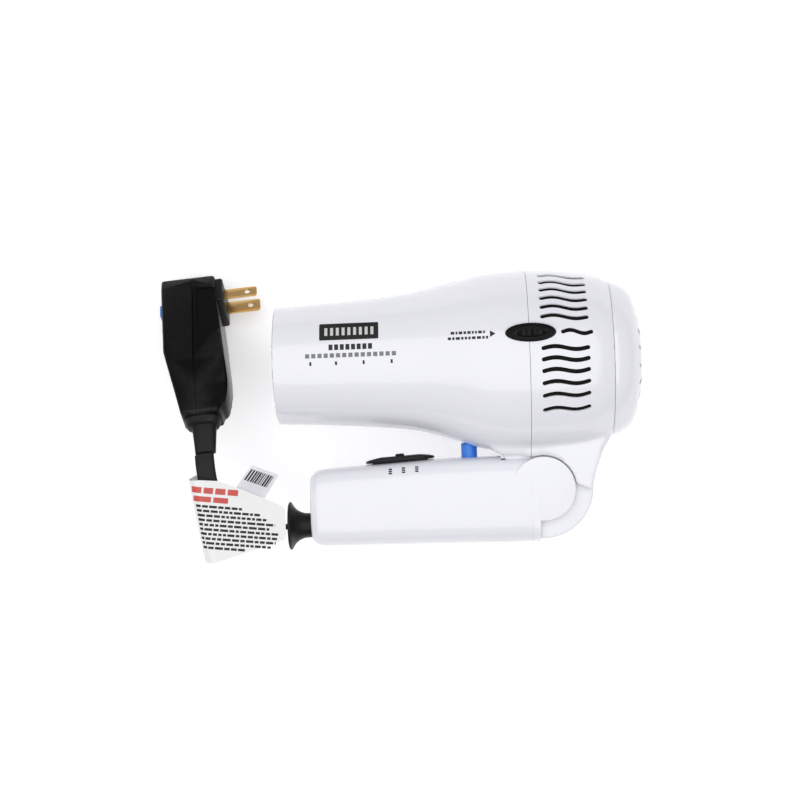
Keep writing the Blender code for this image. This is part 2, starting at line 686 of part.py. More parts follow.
def plug_turn():
    """Columns b, h and s, after the tilt that lifts the cord end and the turn on the ground."""
    tilt = Matrix.Rotation(-PLUG_TILT, 3, "X")
    return Matrix.Rotation(PLUG_TURN, 3, "Z") @ tilt


def plug_solid(name, inset):
    """Body of the plug, shrunk by inset: its plan in b and h, kept within its sides in h and s."""
    plan = [
        (-13.3 + inset, PLUG_END_H - inset), (-12.0 + inset, -13.0), (-3.6 + inset, -52.0 + inset),
        (17.6 - inset, -52.0 + inset), (18.2 - inset, -48.6 + inset), (21.0 - inset, -45.6 + inset),
        (22.8 - inset, -33.0), (22.4 - inset, -25.0), (17.2 - inset, PLUG_END_H - inset),
    ]
    side = [
        (PLUG_END_H - inset, PLUG_END_S - inset), (30.0, 15.0 - inset), (-20.0, 15.0 - inset),
        (-37.0, 9.4 - inset), (-52.0 + inset, 8.8 - inset),
    ]
    outline = side + [(h, -s) for h, s in reversed(side)]
    made = prism(name, plan, -16.0, 16.0)
    boolean(made, prism("side", outline, -20.0, 30.0, "X"), "INTERSECT")
    return made


def build_plug(plug):
    shell = plug_solid("shell", 0.0)
    cut(shell, plug_solid("hollow", 1.8))
    cut(shell, block("prong_hole", (10.0, 19.2, -13.3), (30.0, 35.8, 13.3)))
    cut(shell, block("boot_hole", (1.6, -60.0, -3.9), (14.2, -45.0, 3.9)))
    cut(shell, block("test_hole", (-20.0, 17.4, -1.3), (-9.0, 25.6, 7.3)))
    cut(shell, block("reset_hole", (-20.0, 5.2, -0.8), (-9.0, 11.2, 6.8)))
    front = copy_of(shell, "plug_front_shell")
    cut(front, block("back", (-40, -80, -40), (PLUG_PARTING + 0.15, 80, 40)))
    shell.name = "plug_back_shell"
    cut(shell, block("front", (PLUG_PARTING - 0.15, -80, -40), (60, 80, 40)))
    place(front, plug, "black")
    place(shell, plug, "black")

    prongs = block("prong_block", (12.0, 19.6, -12.9), (21.8, 35.4, 12.9), 0.8)
    blades = (("blade_narrow", BLADE_S, 3.175), ("blade_wide", -BLADE_S, 3.95))
    for name, s, half in blades:
        cut(prongs, block("seat", (8.0, BLADE_H - half - GAP, s - 1.05), (30.0, BLADE_H + half + GAP, s + 1.05)))
    place(prongs, plug, "black")
    for name, s, half in blades:
        blade = block(name, (9.0, BLADE_H - half, s - 0.75), (40.5, BLADE_H + half, s + 0.75))
        cut(blade, rod("hole", (35.0, BLADE_H, s - 3), (35.0, BLADE_H, s + 3), 1.55, 10))
        place(blade, plug, "brass")
    place(block("test_button", (-15.2, 17.8, -0.9), (-9.0, 25.2, 6.9), 0.5), plug, "blue")
    place(block("reset_button", (-14.0, 5.6, -0.4), (-9.0, 10.8, 6.4), 0.5), plug, "red")
    place(block("plug_board", (-6.6, -14.0, -8.0), (-5.0, 32.0, 8.0)), plug, "board")


def build_strain_relief(plug):
    """Boot that tapers from the plug to the flat cord and bends a little towards it."""
    stations = [
        (-48.6, 7.9, 0.0, 7.3, 3.5), (-50.0, 7.9, 0.0, 7.3, 3.5), (-50.1, 7.9, 0.0, 6.0, 3.4),
        (-53.0, 7.9, 0.0, 6.0, 3.4), (-60.0, 7.9, -0.7, 5.9, 3.0), (-71.4, 7.8, -3.4, 5.7, 2.2),
    ]
    count = 16
    rings = []
    for h, b, s, wide, thick in stations:
        ring = []
        for i in range(count):
            angle = 2 * math.pi * (i + 0.5) / count
            across = wide * squared(math.cos(angle), BOOT_POWER)
            ring.append((b + across, h, s + thick * squared(math.sin(angle), BOOT_POWER)))
        rings.append(ring)
    place(loft("plug_strain_relief", rings), plug, "rubber")


# Tags on the cord.


def tag_height(x):
    """Height of the care tag's face, which falls towards the trumpet."""
    return 30.8 - 0.38 * (x + 185.0)


def build_tags(handle):
    """Care tag, folded down at its far edge over a short back leaf, and the stock tag under it."""
    face = [
        (-186.4, -60.0), (-180.5, -58.2), (-170.0, -59.2), (-159.0, -64.2), (-146.0, -70.4), (-136.8, -75.2),
        (-136.8, -92.6), (-146.0, -95.4), (-174.6, -103.4), (-179.8, -101.0),
    ]
    first, last = face[0], face[-1]
    strip = [first, (first[0] + TAG_THICK, first[1]), (last[0] + TAG_THICK, last[1]), last]
    leaf = sheet("care_tag", face, 0.0, TAG_THICK)
    fold = sheet("fold", strip, -TAG_FOLD, TAG_FOLD + 0.2)
    back = sheet("back", [first, (-179.0, -60.0), (-178.4, -80.0), (-173.0, -101.0), last], -TAG_FOLD, TAG_THICK)
    join(leaf, fold, back)
    place(leaf, handle, "label")
    stock_edge = [(-153.4, -51.4), (-139.4, -57.2), (-149.0, -72.6), (-163.6, -65.4)]
    stock = sheet("stock_tag", stock_edge, -1.6, TAG_THICK)
    place(stock, handle, "foil")


def sheet(name, edge, below, thick):
    """A thin plate that follows the slope of the care tag, some way below its face."""
    bm = bmesh.new()
    low = [bm.verts.new((x, y, tag_height(x) + below)) for x, y in edge]
    high = [bm.verts.new((x, y, tag_height(x) + below + thick)) for x, y in edge]
    bm.faces.new(low)
    bm.faces.new(high)
    for i in range(len(edge)):
        j = (i + 1) % len(edge)
        bm.faces.new((low[i], low[j], high[j], high[i]))
    return solid(name, bm)


def main():
    root = Frame("dryer")
    build_housing(root)
    build_rear(root)
    build_heater(root)
    build_fan(root)
    build_reel(root)
    handle = Frame("handle", (*PIVOT, 0.0), root)
    build_handle_shells(handle)
    switch = Frame("switch", (*SWITCH_AT, 0.0), handle, Matrix.Rotation(SWITCH_SLOPE, 3, "Z"))
    switch.at = Vector((0.0, 0.0, 0.0))
    build_controls(handle, switch)
    build_inner_cord(root, handle)
    flat_cord("cord", handle, CORD_ROUTE, CORD_TILTS)
    plug = Frame("plug", (*PLUG_XY, GROUND_Z + PLUG_LIFT), handle, plug_turn())
    plug.at = Vector((0.0, 0.0, 0.0))
    build_plug(plug)
    build_strain_relief(plug)
    build_tags(handle)
    root.empty.location = Vector(ROOT_AT) * MM


clear_scene()
FINISHES = make_materials()
main()
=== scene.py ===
"""Folding hair dryer, lying on its side with the handle folded: surfaces, finishes, light and camera.

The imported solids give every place. Shapes are drawn in millimetres in the dryer's own frame (X to the
rear, Y to the top of the barrel, Z up, z = 0 the plane of symmetry) or in the plug's frame (b along the
blades, h away from the cord, s across), and each finished mesh is then set into the world in metres.
"""

import logging
import math
import random
from dataclasses import dataclass, field
from enum import Enum
from typing import Callable, Iterable, Sequence

import bpy
from mathutils import Matrix, Vector


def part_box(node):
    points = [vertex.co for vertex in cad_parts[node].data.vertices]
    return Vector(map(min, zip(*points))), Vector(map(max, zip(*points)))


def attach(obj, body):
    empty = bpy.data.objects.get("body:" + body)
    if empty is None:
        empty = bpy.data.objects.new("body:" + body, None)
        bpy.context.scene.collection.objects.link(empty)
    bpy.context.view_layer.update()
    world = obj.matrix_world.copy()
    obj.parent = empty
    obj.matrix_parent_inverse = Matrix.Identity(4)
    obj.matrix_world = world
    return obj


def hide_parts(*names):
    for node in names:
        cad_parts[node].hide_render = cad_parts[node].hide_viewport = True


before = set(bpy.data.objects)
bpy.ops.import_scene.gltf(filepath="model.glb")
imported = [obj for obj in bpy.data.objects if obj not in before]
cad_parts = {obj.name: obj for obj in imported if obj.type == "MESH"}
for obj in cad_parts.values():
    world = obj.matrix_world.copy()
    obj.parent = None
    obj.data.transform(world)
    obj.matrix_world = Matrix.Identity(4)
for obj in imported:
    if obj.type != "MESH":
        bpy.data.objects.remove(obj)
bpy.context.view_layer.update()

log = logging.getLogger("hair_dryer")

Point2 = tuple[float, float]
Point3 = tuple[float, float, float]
Piece = bpy.types.Object

MM = 0.001
FULL_TURN = 2.0 * math.pi
SHARP = math.radians(32)
MERGE = 0.0005
PIN_RADIUS = 4.4
PRINT_RISE = 0.03
OVER_RISE = 0.1


class Axis(Enum):
    """Axis that a turned or extruded shape is built about."""

    X = 0
    Y = 1
    Z = 2


class Cut(Enum):
    """How one solid changes another."""

    ADD = "UNION"
    TAKE = "DIFFERENCE"
    KEEP = "INTERSECT"


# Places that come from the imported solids.


def middle_of(node: str) -> Vector:
    """Return the middle of a solid's box, in metres."""
    low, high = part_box(node)
    return (low + high) / 2


def dryer_place() -> Matrix:
    """Return the matrix from the dryer's frame in millimetres to the world."""
    axle, rear = middle_of("motor_can"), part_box("rear_grille")[1]
    origin = Vector((rear.x - Dryer.BACK_X * MM, axle.y, axle.z))
    return Matrix.Translation(origin) @ Matrix.Scale(MM, 4)


def plug_place() -> Matrix:
    """Return the matrix from the plug's frame in millimetres to the world."""
    tilt = Matrix.Rotation(-Plug.TILT, 4, "X")
    turn = Matrix.Rotation(Plug.TURN, 4, "Z") @ tilt
    origin = middle_of("prong_block") - (turn @ Vector(Plug.PRONG_MIDDLE)) * MM
    return Matrix.Translation(origin) @ turn @ Matrix.Scale(MM, 4)


# Modelling steps, in millimetres.


def alone(target: Piece) -> Piece:
    """Deselect everything, then select this object and make it active."""
    if bpy.context.mode != "OBJECT":
        bpy.ops.object.mode_set(mode="OBJECT")
    bpy.ops.object.select_all(action="DESELECT")
    target.select_set(True)
    bpy.context.view_layer.objects.active = target
    return target


def started(name: str) -> Piece:
    """Name the primitive that was just added, and put its place into its mesh."""
    made = bpy.context.active_object
    made.name = name
    made.data.name = name
    bpy.ops.object.transform_apply(location=True, rotation=True, scale=True)
    return made


def edit(target: Piece) -> None:
    """Open an object in edit mode with all of it selected."""
    alone(target)
    bpy.ops.object.mode_set(mode="EDIT")
    bpy.ops.mesh.select_mode(type="VERT")
    bpy.ops.mesh.select_all(action="SELECT")


def leave(target: Piece) -> Piece:
    """Merge doubles, turn the faces outwards and leave edit mode."""
    bpy.ops.mesh.select_all(action="SELECT")
    bpy.ops.mesh.remove_doubles(threshold=MERGE)
    bpy.ops.mesh.normals_make_consistent(inside=False)
    bpy.ops.object.mode_set(mode="OBJECT")
    return target


def standing(target: Piece, axis: Axis) -> Piece:
    """Turn a shape that was built about Z so that its Z runs along another axis."""
    turns = {
        Axis.X: Matrix(((0, 0, 1, 0), (1, 0, 0, 0), (0, 1, 0, 0), (0, 0, 0, 1))),
        Axis.Y: Matrix(((0, 1, 0, 0), (0, 0, 1, 0), (1, 0, 0, 0), (0, 0, 0, 1))),
        Axis.Z: Matrix.Identity(4),
    }
    target.data.transform(turns[axis])
    return target


def moved(target: Piece, by: Sequence[float]) -> Piece:
    """Move a mesh by a vector."""
    target.data.transform(Matrix.Translation(by))
    return target


def rolled(target: Piece, degrees: float) -> Piece:
    """Turn a mesh about the barrel's axis."""
    target.data.transform(Matrix.Rotation(math.radians(degrees), 4, "X"))
    return target


def lathe(
    name: str,
    profile: Sequence[Point2],
    steps: int = 96,
    axis: Axis = Axis.X,
    centre: Point3 = (0.0, 0.0, 0.0),
) -> Piece:
    """Spin a profile into a closed turned piece.

    Args:
        name: Name of the piece.
        profile: (along, radius) points. A profile whose ends are off the axis is joined into a ring.
        steps: Facets round the axis.
        axis: Axis of the turning.
        centre: Point that the axis passes through.

    Returns:
        The turned piece.
    """
    bpy.ops.object.select_all(action="DESELECT")
    bpy.ops.mesh.primitive_plane_add(size=1.0, location=(0.0, 0.0, 0.0))
    made = started(name)
    edit(made)
    bpy.ops.mesh.merge(type="CENTER")
    first = (profile[0][1], 0.0, profile[0][0])
    bpy.ops.transform.translate(value=first)
    closed = [*profile, profile[0]] if profile[0][1] > 0.0 else list(profile)
    for before, after in zip(closed, closed[1:]):
        step = (after[1] - before[1], 0.0, after[0] - before[0])
        bpy.ops.mesh.extrude_region_move(TRANSFORM_OT_translate={"value": step})
    bpy.ops.mesh.select_all(action="SELECT")
    bpy.ops.mesh.spin(steps=steps, angle=FULL_TURN, center=(0, 0, 0), axis=(0, 0, 1))
    leave(made)
    return moved(standing(made, axis), centre)


def slab(
    name: str, outline: Sequence[Point2], low: float, high: float, axis: Axis = Axis.Z
) -> Piece:
    """Extrude an outline.

    Args:
        name: Name of the piece.
        outline: (x, y) points for Z, (y, z) for X or (z, x) for Y.
        low: Start along the axis.
        high: End along the axis.
        axis: Axis of the extrusion.

    Returns:
        The extruded piece.
    """
    bpy.ops.object.select_all(action="DESELECT")
    bpy.ops.mesh.primitive_circle_add(vertices=len(outline), fill_type="NGON")
    made = started(name)
    for vertex, (u, v) in zip(made.data.vertices, outline):
        vertex.co = (u, v, low)
    edit(made)
    bpy.ops.mesh.extrude_region_move(TRANSFORM_OT_translate={"value": (0, 0, high - low)})
    leave(made)
    return standing(made, axis)


def box(name: str, low: Point3, high: Point3) -> Piece:
    """Add a box between two corners, as a tool or the start of a piece."""
    size = [b - a for a, b in zip(low, high)]
    middle = [(a + b) / 2 for a, b in zip(low, high)]
    bpy.ops.object.select_all(action="DESELECT")
    bpy.ops.mesh.primitive_cube_add(size=1.0, location=middle, scale=size)
    return started(name)


def rod(
    name: str, start: Point3, end: Point3, radius: float, facets: int = 48
) -> Piece:
    """Add a round bar between two points, as a tool or the start of a piece."""
    along = Vector(end) - Vector(start)
    middle = (Vector(start) + Vector(end)) / 2
    bpy.ops.object.select_all(action="DESELECT")
    bpy.ops.mesh.primitive_cylinder_add(
        vertices=facets,
        radius=radius,
        depth=along.length,
        location=middle,
        rotation=along.to_track_quat("Z", "Y").to_euler(),
    )
    return started(name)


def loft(name: str, rings: Sequence[Sequence[Point3]]) -> Piece:
    """Wrap a grid round rings of equally many points, and close both ends.

    Args:
        name: Name of the piece.
        rings: Rows of points, each row once round the piece.

    Returns:
        The closed piece.
    """
    around = len(rings[0])
    bpy.ops.object.select_all(action="DESELECT")
    bpy.ops.mesh.primitive_grid_add(x_subdivisions=around, y_subdivisions=len(rings) - 1)
    made = started(name)
    for j, ring in enumerate(rings):
        for i in range(around + 1):
            made.data.vertices[j * (around + 1) + i].co = ring[i % around]
    edit(made)
    bpy.ops.mesh.remove_doubles(threshold=MERGE)
    bpy.ops.mesh.fill_holes(sides=0)
    return leave(made)


def applied(target: Piece, kind: str, **values: object) -> Piece:
    """Add one modifier with these values and apply it."""
    modifier = target.modifiers.new(kind.lower(), kind)
    for key, value in values.items():
        setattr(modifier, key, value)
    alone(target)
    bpy.ops.object.modifier_apply(modifier=modifier.name)
    return target


def carve(
    target: Piece, tool: Piece, cut: Cut, solver: str = "EXACT"
) -> Piece:
    """Join, cut or keep with a tool, which is used up."""
    applied(target, "BOOLEAN", operation=cut.value, solver=solver, object=tool)
    bpy.data.objects.remove(tool, do_unlink=True)
    return target


def gathered(name: str, pieces: Iterable[Piece]) -> Piece:
    """Join pieces into one object."""
    pieces = list(pieces)
    alone(pieces[0])
    for piece in pieces:
        piece.select_set(True)
    if len(pieces) > 1:
        bpy.ops.object.join()
    pieces[0].name = name
    return pieces[0]


def twin(source: Piece, name: str) -> Piece:
    """Copy a piece with a mesh of its own."""
    alone(source)
    bpy.ops.object.duplicate(linked=False)
    made = bpy.context.active_object
    made.name = name
    return made


def eased(
    target: Piece, width: float, segments: int = 3, angle: float = 30.0
) -> Piece:
    """Round the edges that are sharper than an angle in degrees."""
    return applied(
        target,
        "BEVEL",
        width=width,
        segments=segments,
        limit_method="ANGLE",
        angle_limit=math.radians(angle),
        use_clamp_overlap=True,
        harden_normals=False,
    )


def curve_through(points: Sequence[Sequence[float]], per_span: int) -> list[tuple[float, ...]]:
    """Return a smooth line through points, by Catmull-Rom spans.

    Args:
        points: Points of any dimension.
        per_span: Steps in each span.

    Returns:
        The denser list of points, which keeps the given ones.
    """
    found = []
    last = len(points) - 1
    for i in range(last):
        p0, p1 = points[max(i - 1, 0)], points[i]
        p2, p3 = points[i + 1], points[min(i + 2, last)]
        for step in range(per_span):
            t = step / per_span
            weights = (
                -0.5 * t + t * t - 0.5 * t**3,
                1.0 - 2.5 * t * t + 1.5 * t**3,
                0.5 * t + 2.0 * t * t - 1.5 * t**3,
                -0.5 * t * t + 0.5 * t**3,
            )
            sample = zip(p0, p1, p2, p3)
            found.append(tuple(sum(w * v for w, v in zip(weights, four)) for four in sample))
    found.append(tuple(points[last]))
    return found


def arc(centre: Point2, radius: float, start: float, end: float, count: int) -> list[Point2]:
    """Return points on an arc, angles in degrees."""
    angles = [math.radians(start + (end - start) * i / (count - 1)) for i in range(count)]
    return [(centre[0] + radius * math.cos(a), centre[1] + radius * math.sin(a)) for a in angles]


def rounded_power(value: float, power: float) -> float:
    """Return a signed power, which squares off a round section."""
    return math.copysign(abs(value) ** power, value)


# Finishes.


def group_socket(tree: bpy.types.NodeTree, name: str, way: str, kind: str, value: object) -> None:
    """Add one socket to a shader group, with its starting value if it is an input."""
    made = tree.interface.new_socket(name=name, in_out=way, socket_type=kind)
    if way == "INPUT":
        made.default_value = value


def surface_grain_group() -> bpy.types.NodeTree:
    """Build the group that gives a moulded surface its fine grain and slow unevenness.

    Returns:
        A group with inputs Scale and Mottle, and outputs Height and Mask.
    """
    tree = bpy.data.node_groups.new("surface_grain", "ShaderNodeTree")
    group_socket(tree, "Scale", "INPUT", "NodeSocketFloat", 900.0)
    group_socket(tree, "Mottle", "INPUT", "NodeSocketFloat", 40.0)
    group_socket(tree, "Height", "OUTPUT", "NodeSocketFloat", None)
    group_socket(tree, "Mask", "OUTPUT", "NodeSocketFloat", None)
    nodes, links = tree.nodes, tree.links
    inside = nodes.new("NodeGroupInput")
    outside = nodes.new("NodeGroupOutput")
    place = nodes.new("ShaderNodeTexCoord")
    fine = nodes.new("ShaderNodeTexNoise")
    fine.inputs["Detail"].default_value = 2.0
    slow = nodes.new("ShaderNodeTexNoise")
    slow.inputs["Detail"].default_value = 4.0
    links.new(place.outputs["Object"], fine.inputs["Vector"])
    links.new(place.outputs["Object"], slow.inputs["Vector"])
    links.new(inside.outputs["Scale"], fine.inputs["Scale"])
    links.new(inside.outputs["Mottle"], slow.inputs["Scale"])
    links.new(fine.outputs["Fac"], outside.inputs["Height"])
    links.new(slow.outputs["Fac"], outside.inputs["Mask"])
    return tree


def edge_sheen_and_wear_group() -> bpy.types.NodeTree:
    """Build the group that finds the sharp edges, which hands and tables rub and where glossy edges catch
    the light: real scuffing and painted edge highlight.

    Returns:
        A group with an input Breakup and an output Mask.
    """
    tree = bpy.data.node_groups.new("edge_sheen_and_wear", "ShaderNodeTree")
    group_socket(tree, "Breakup", "INPUT", "NodeSocketFloat", 300.0)
    group_socket(tree, "Mask", "OUTPUT", "NodeSocketFloat", None)
    nodes, links = tree.nodes, tree.links
    inside = nodes.new("NodeGroupInput")
    outside = nodes.new("NodeGroupOutput")
    place = nodes.new("ShaderNodeTexCoord")
    shape = nodes.new("ShaderNodeNewGeometry")
    # Pointiness finds the sharp edges, for scuffing and painted edge highlight.
    edges = nodes.new("ShaderNodeMapRange")
    edges.inputs["From Min"].default_value = 0.53
    edges.inputs["From Max"].default_value = 0.62
    noise = nodes.new("ShaderNodeTexNoise")
    both = nodes.new("ShaderNodeMath")
    both.operation = "MULTIPLY"
    links.new(shape.outputs["Pointiness"], edges.inputs["Value"])
    links.new(place.outputs["Object"], noise.inputs["Vector"])
    links.new(inside.outputs["Breakup"], noise.inputs["Scale"])
    links.new(edges.outputs["Result"], both.inputs[0])
    links.new(noise.outputs["Fac"], both.inputs[1])
    links.new(both.outputs["Value"], outside.inputs["Mask"])
    return tree


@dataclass(frozen=True)
class Finish:
    """A moulded, stamped or printed surface.

    Attributes:
        name: Name of the finish.
        slot: Material slot of the record.
        colour: Main colour, linear.
        shade: Colour of the slow unevenness.
        sheen_and_wear_colour: Colour of sharp edges, lighter than the main colour: scuffing and painted
            edge highlight.
        rough: Roughness where it is smoothest and where it is dullest.
        metallic: Metallic value.
        coat: Weight of a clear gloss coat.
        grain: Scale of the fine grain.
        mottle: Scale of the slow unevenness.
        depth: Depth of the grain in metres.
        through: Share of light that goes into the plastic.
        specular: Strength of its plain reflection.
    """

    name: str
    slot: str
    colour: Point3
    shade: Point3
    sheen_and_wear_colour: Point3
    rough: Point2
    metallic: float = 0.0
    coat: float = 0.0
    grain: float = 900.0
    mottle: float = 40.0
    depth: float = 0.00002
    through: float = 0.0
    specular: float = 0.5

    def pattern(self, tree: bpy.types.NodeTree, grain: bpy.types.Node) -> bpy.types.NodeSocket:
        """Return the height that the bump follows, which a finish with a pattern replaces."""
        return grain.outputs["Height"]

    def material(self) -> bpy.types.Material:
        """Return this finish as a material, built once."""
        found = bpy.data.materials.get(self.name)
        if found:
            return found
        made = bpy.data.materials.new(self.name)
        made.use_nodes = True
        tree = made.node_tree
        nodes, links = tree.nodes, tree.links
        shader = nodes["Principled BSDF"]
        grain = nodes.new("ShaderNodeGroup")
        grain.node_tree = GRAIN
        grain.inputs["Scale"].default_value = self.grain
        grain.inputs["Mottle"].default_value = self.mottle
        sheen_and_wear_node = nodes.new("ShaderNodeGroup")
        sheen_and_wear_node.node_tree = SHEEN_AND_WEAR
        uneven = mixed(tree, grain.outputs["Mask"], self.colour, self.shade)
        # Sharp edges take the lighter edge colour: scuffing and painted edge highlight.
        sheen_and_wear_mix = mixed(tree, sheen_and_wear_node.outputs["Mask"], None, self.sheen_and_wear_colour)
        links.new(uneven.outputs[2], sheen_and_wear_mix.inputs[6])
        links.new(sheen_and_wear_mix.outputs[2], shader.inputs["Base Color"])
        dull = nodes.new("ShaderNodeMapRange")
        dull.inputs["From Min"].default_value = 0.3
        dull.inputs["From Max"].default_value = 0.7
        dull.inputs["To Min"].default_value = self.rough[0]
        dull.inputs["To Max"].default_value = self.rough[1]
        links.new(grain.outputs["Mask"], dull.inputs["Value"])
        links.new(dull.outputs["Result"], shader.inputs["Roughness"])
        bump = nodes.new("ShaderNodeBump")
        bump.inputs["Distance"].default_value = self.depth
        bump.inputs["Strength"].default_value = 0.6
        links.new(self.pattern(tree, grain), bump.inputs["Height"])
        links.new(bump.outputs["Normal"], shader.inputs["Normal"])
        shader.inputs["Metallic"].default_value = self.metallic
        shader.inputs["Specular IOR Level"].default_value = self.specular
        shader.inputs["Coat Weight"].default_value = self.coat
        shader.inputs["Coat Roughness"].default_value = 0.06
        shader.inputs["Subsurface Weight"].default_value = self.through
        shader.inputs["Subsurface Scale"].default_value = 0.0015
        return made


def mixed(
    tree: bpy.types.NodeTree,
    share: bpy.types.NodeSocket,
    first: Point3 | None,
    second: Point3 | None,
) -> bpy.types.Node:
    """Add a colour mix.

    Args:
        tree: Node tree to add to.
        share: Socket that gives the share of the second colour.
        first: First colour, or None where a link will give it.
        second: Second colour, or None where a link will give it.

    Returns:
        The mix node, with its colours at inputs 6 and 7 and its result at output 2.
    """
    mix = tree.nodes.new("ShaderNodeMix")
    mix.data_type = "RGBA"
    tree.links.new(share, mix.inputs[0])
    if first:
        mix.inputs[6].default_value = (*first, 1.0)
    if second:
        mix.inputs[7].default_value = (*second, 1.0)
    return mix


@dataclass(frozen=True)
class WovenFinish(Finish):
    """A fine screen: wires crossing on a grid that follows the barrel."""

    pitch: float = 0.0011

    def pattern(self, tree: bpy.types.NodeTree, grain: bpy.types.Node) -> bpy.types.NodeSocket:
        """Return a height that rises along two sets of wires."""
        place = tree.nodes.new("ShaderNodeTexCoord")
        heights = []
        for direction in ("X", "Y"):
            wires = tree.nodes.new("ShaderNodeTexWave")
            wires.bands_direction = direction
            wires.inputs["Scale"].default_value = 0.314 / self.pitch
            tree.links.new(place.outputs["Object"], wires.inputs["Vector"])
            heights.append(wires.outputs["Fac"])
        top = tree.nodes.new("ShaderNodeMath")
        top.operation = "MAXIMUM"
        for height, entry in zip(heights, top.inputs):
            tree.links.new(height, entry)
        return top.outputs["Value"]


@dataclass(frozen=True)
class BrushedFinish(Finish):
    """Metal with long fine scratches along one direction."""

    along: Axis = Axis.X

    def pattern(self, tree: bpy.types.NodeTree, grain: bpy.types.Node) -> bpy.types.NodeSocket:
        """Return a noise that is drawn out along the scratches."""
        place = tree.nodes.new("ShaderNodeTexCoord")
        stretch = tree.nodes.new("ShaderNodeMapping")
        scale = [1.0, 1.0, 1.0]
        scale[self.along.value] = 0.04
        stretch.inputs["Scale"].default_value = scale
        scratches = tree.nodes.new("ShaderNodeTexNoise")
        scratches.inputs["Scale"].default_value = 2600.0
        tree.links.new(place.outputs["Object"], stretch.inputs["Vector"])
        tree.links.new(stretch.outputs["Vector"], scratches.inputs["Vector"])
        return scratches.outputs["Fac"]


GRAIN = surface_grain_group()
SHEEN_AND_WEAR = edge_sheen_and_wear_group()

# The third colour of each finish lightens its sharp edges: scuffing and painted edge highlight.
WHITE = Finish(
    "white_moulding", "white_shell", (0.80, 0.80, 0.84), (0.785, 0.785, 0.83), (0.84, 0.84, 0.86),
    (0.16, 0.22), coat=0.35, grain=500.0, mottle=18.0, depth=0.000012, through=0.04,
)
BLACK = Finish(
    "black_moulding", "black_plastic", (0.004, 0.004, 0.0045), (0.006, 0.006, 0.0065),
    (0.06, 0.06, 0.062), (0.17, 0.26), grain=1500.0, depth=0.00003, specular=0.08,
)
BLACK_SATIN = Finish(
    "black_satin", "black_plastic", (0.005, 0.005, 0.0055), (0.009, 0.009, 0.0095),
    (0.035, 0.035, 0.035), (0.34, 0.46), grain=2200.0, depth=0.00004, specular=0.2,
)
CORD_BLACK = Finish(
    "cord_jacket", "cord_rubber", (0.005, 0.005, 0.005), (0.009, 0.009, 0.009),
    (0.03, 0.03, 0.03), (0.36, 0.48), grain=2600.0, depth=0.00004, specular=0.2,
)
BLUE = Finish(
    "blue_button", "blue_button", (0.012, 0.21, 0.72), (0.015, 0.25, 0.78),
    (0.08, 0.34, 0.82), (0.22, 0.3), coat=0.3, grain=900.0,
)
RED = Finish(
    "red_button", "red_button", (0.56, 0.035, 0.03), (0.62, 0.05, 0.04),
    (0.7, 0.12, 0.1), (0.3, 0.4), grain=1200.0,
)
BRASS = BrushedFinish(
    "blade_brass", "blade_brass", (0.72, 0.46, 0.16), (0.64, 0.38, 0.12),
    (0.86, 0.64, 0.3), (0.2, 0.34), metallic=1.0, depth=0.00002,
)
STEEL = BrushedFinish(
    "plated_steel", "steel", (0.55, 0.55, 0.57), (0.46, 0.46, 0.48),
    (0.7, 0.7, 0.72), (0.24, 0.38), metallic=1.0, depth=0.00002,
)
COPPER = BrushedFinish(
    "copper_winding", "winding", (0.7, 0.32, 0.16), (0.56, 0.22, 0.1),
    (0.8, 0.44, 0.26), (0.28, 0.4), metallic=1.0, depth=0.00003, along=Axis.Y,
)
MICA = Finish(
    "mica_sheet", "mica", (0.56, 0.47, 0.34), (0.44, 0.35, 0.24),
    (0.66, 0.58, 0.46), (0.3, 0.5), coat=0.2, grain=300.0, mottle=140.0,
)
SCREEN = WovenFinish(
    "woven_screen", "mesh", (0.004, 0.004, 0.004), (0.007, 0.007, 0.007),
    (0.02, 0.02, 0.02), (0.5, 0.7), depth=0.0003, specular=0.1,
)
BOARD = Finish(
    "circuit_board", "board", (0.02, 0.17, 0.06), (0.03, 0.22, 0.09),
    (0.1, 0.3, 0.16), (0.35, 0.5), coat=0.3, mottle=260.0,
)
FILM = Finish(
    "label_film", "label", (0.84, 0.84, 0.83), (0.8, 0.8, 0.79),
    (0.88, 0.88, 0.87), (0.3, 0.42), coat=0.2, grain=1200.0, mottle=60.0, depth=0.00003,
)
FOIL = Finish(
    "silver_film", "foil", (0.62, 0.62, 0.65), (0.55, 0.55, 0.58),
    (0.75, 0.75, 0.78), (0.25, 0.36), metallic=0.35, grain=1500.0, mottle=90.0, depth=0.00003,
)
INK = Finish(
    "printing_ink", "black_plastic", (0.012, 0.012, 0.013), (0.02, 0.02, 0.02),
    (0.03, 0.03, 0.03), (0.3, 0.4), grain=2500.0, specular=0.25,
)
GREY_INK = Finish(
    "grey_ink", "black_plastic", (0.12, 0.12, 0.13), (0.16, 0.16, 0.17),
    (0.2, 0.2, 0.2), (0.35, 0.45), grain=2500.0,
)
RED_INK = Finish(
    "red_ink", "red_button", (0.55, 0.06, 0.05), (0.6, 0.09, 0.07),
    (0.62, 0.12, 0.1), (0.35, 0.45), grain=2500.0,
)
SILVER_INK = Finish(
    "silver_ink", "foil", (0.72, 0.72, 0.72), (0.66, 0.66, 0.67),
    (0.8, 0.8, 0.8), (0.28, 0.36), metallic=0.4, grain=2500.0,
)


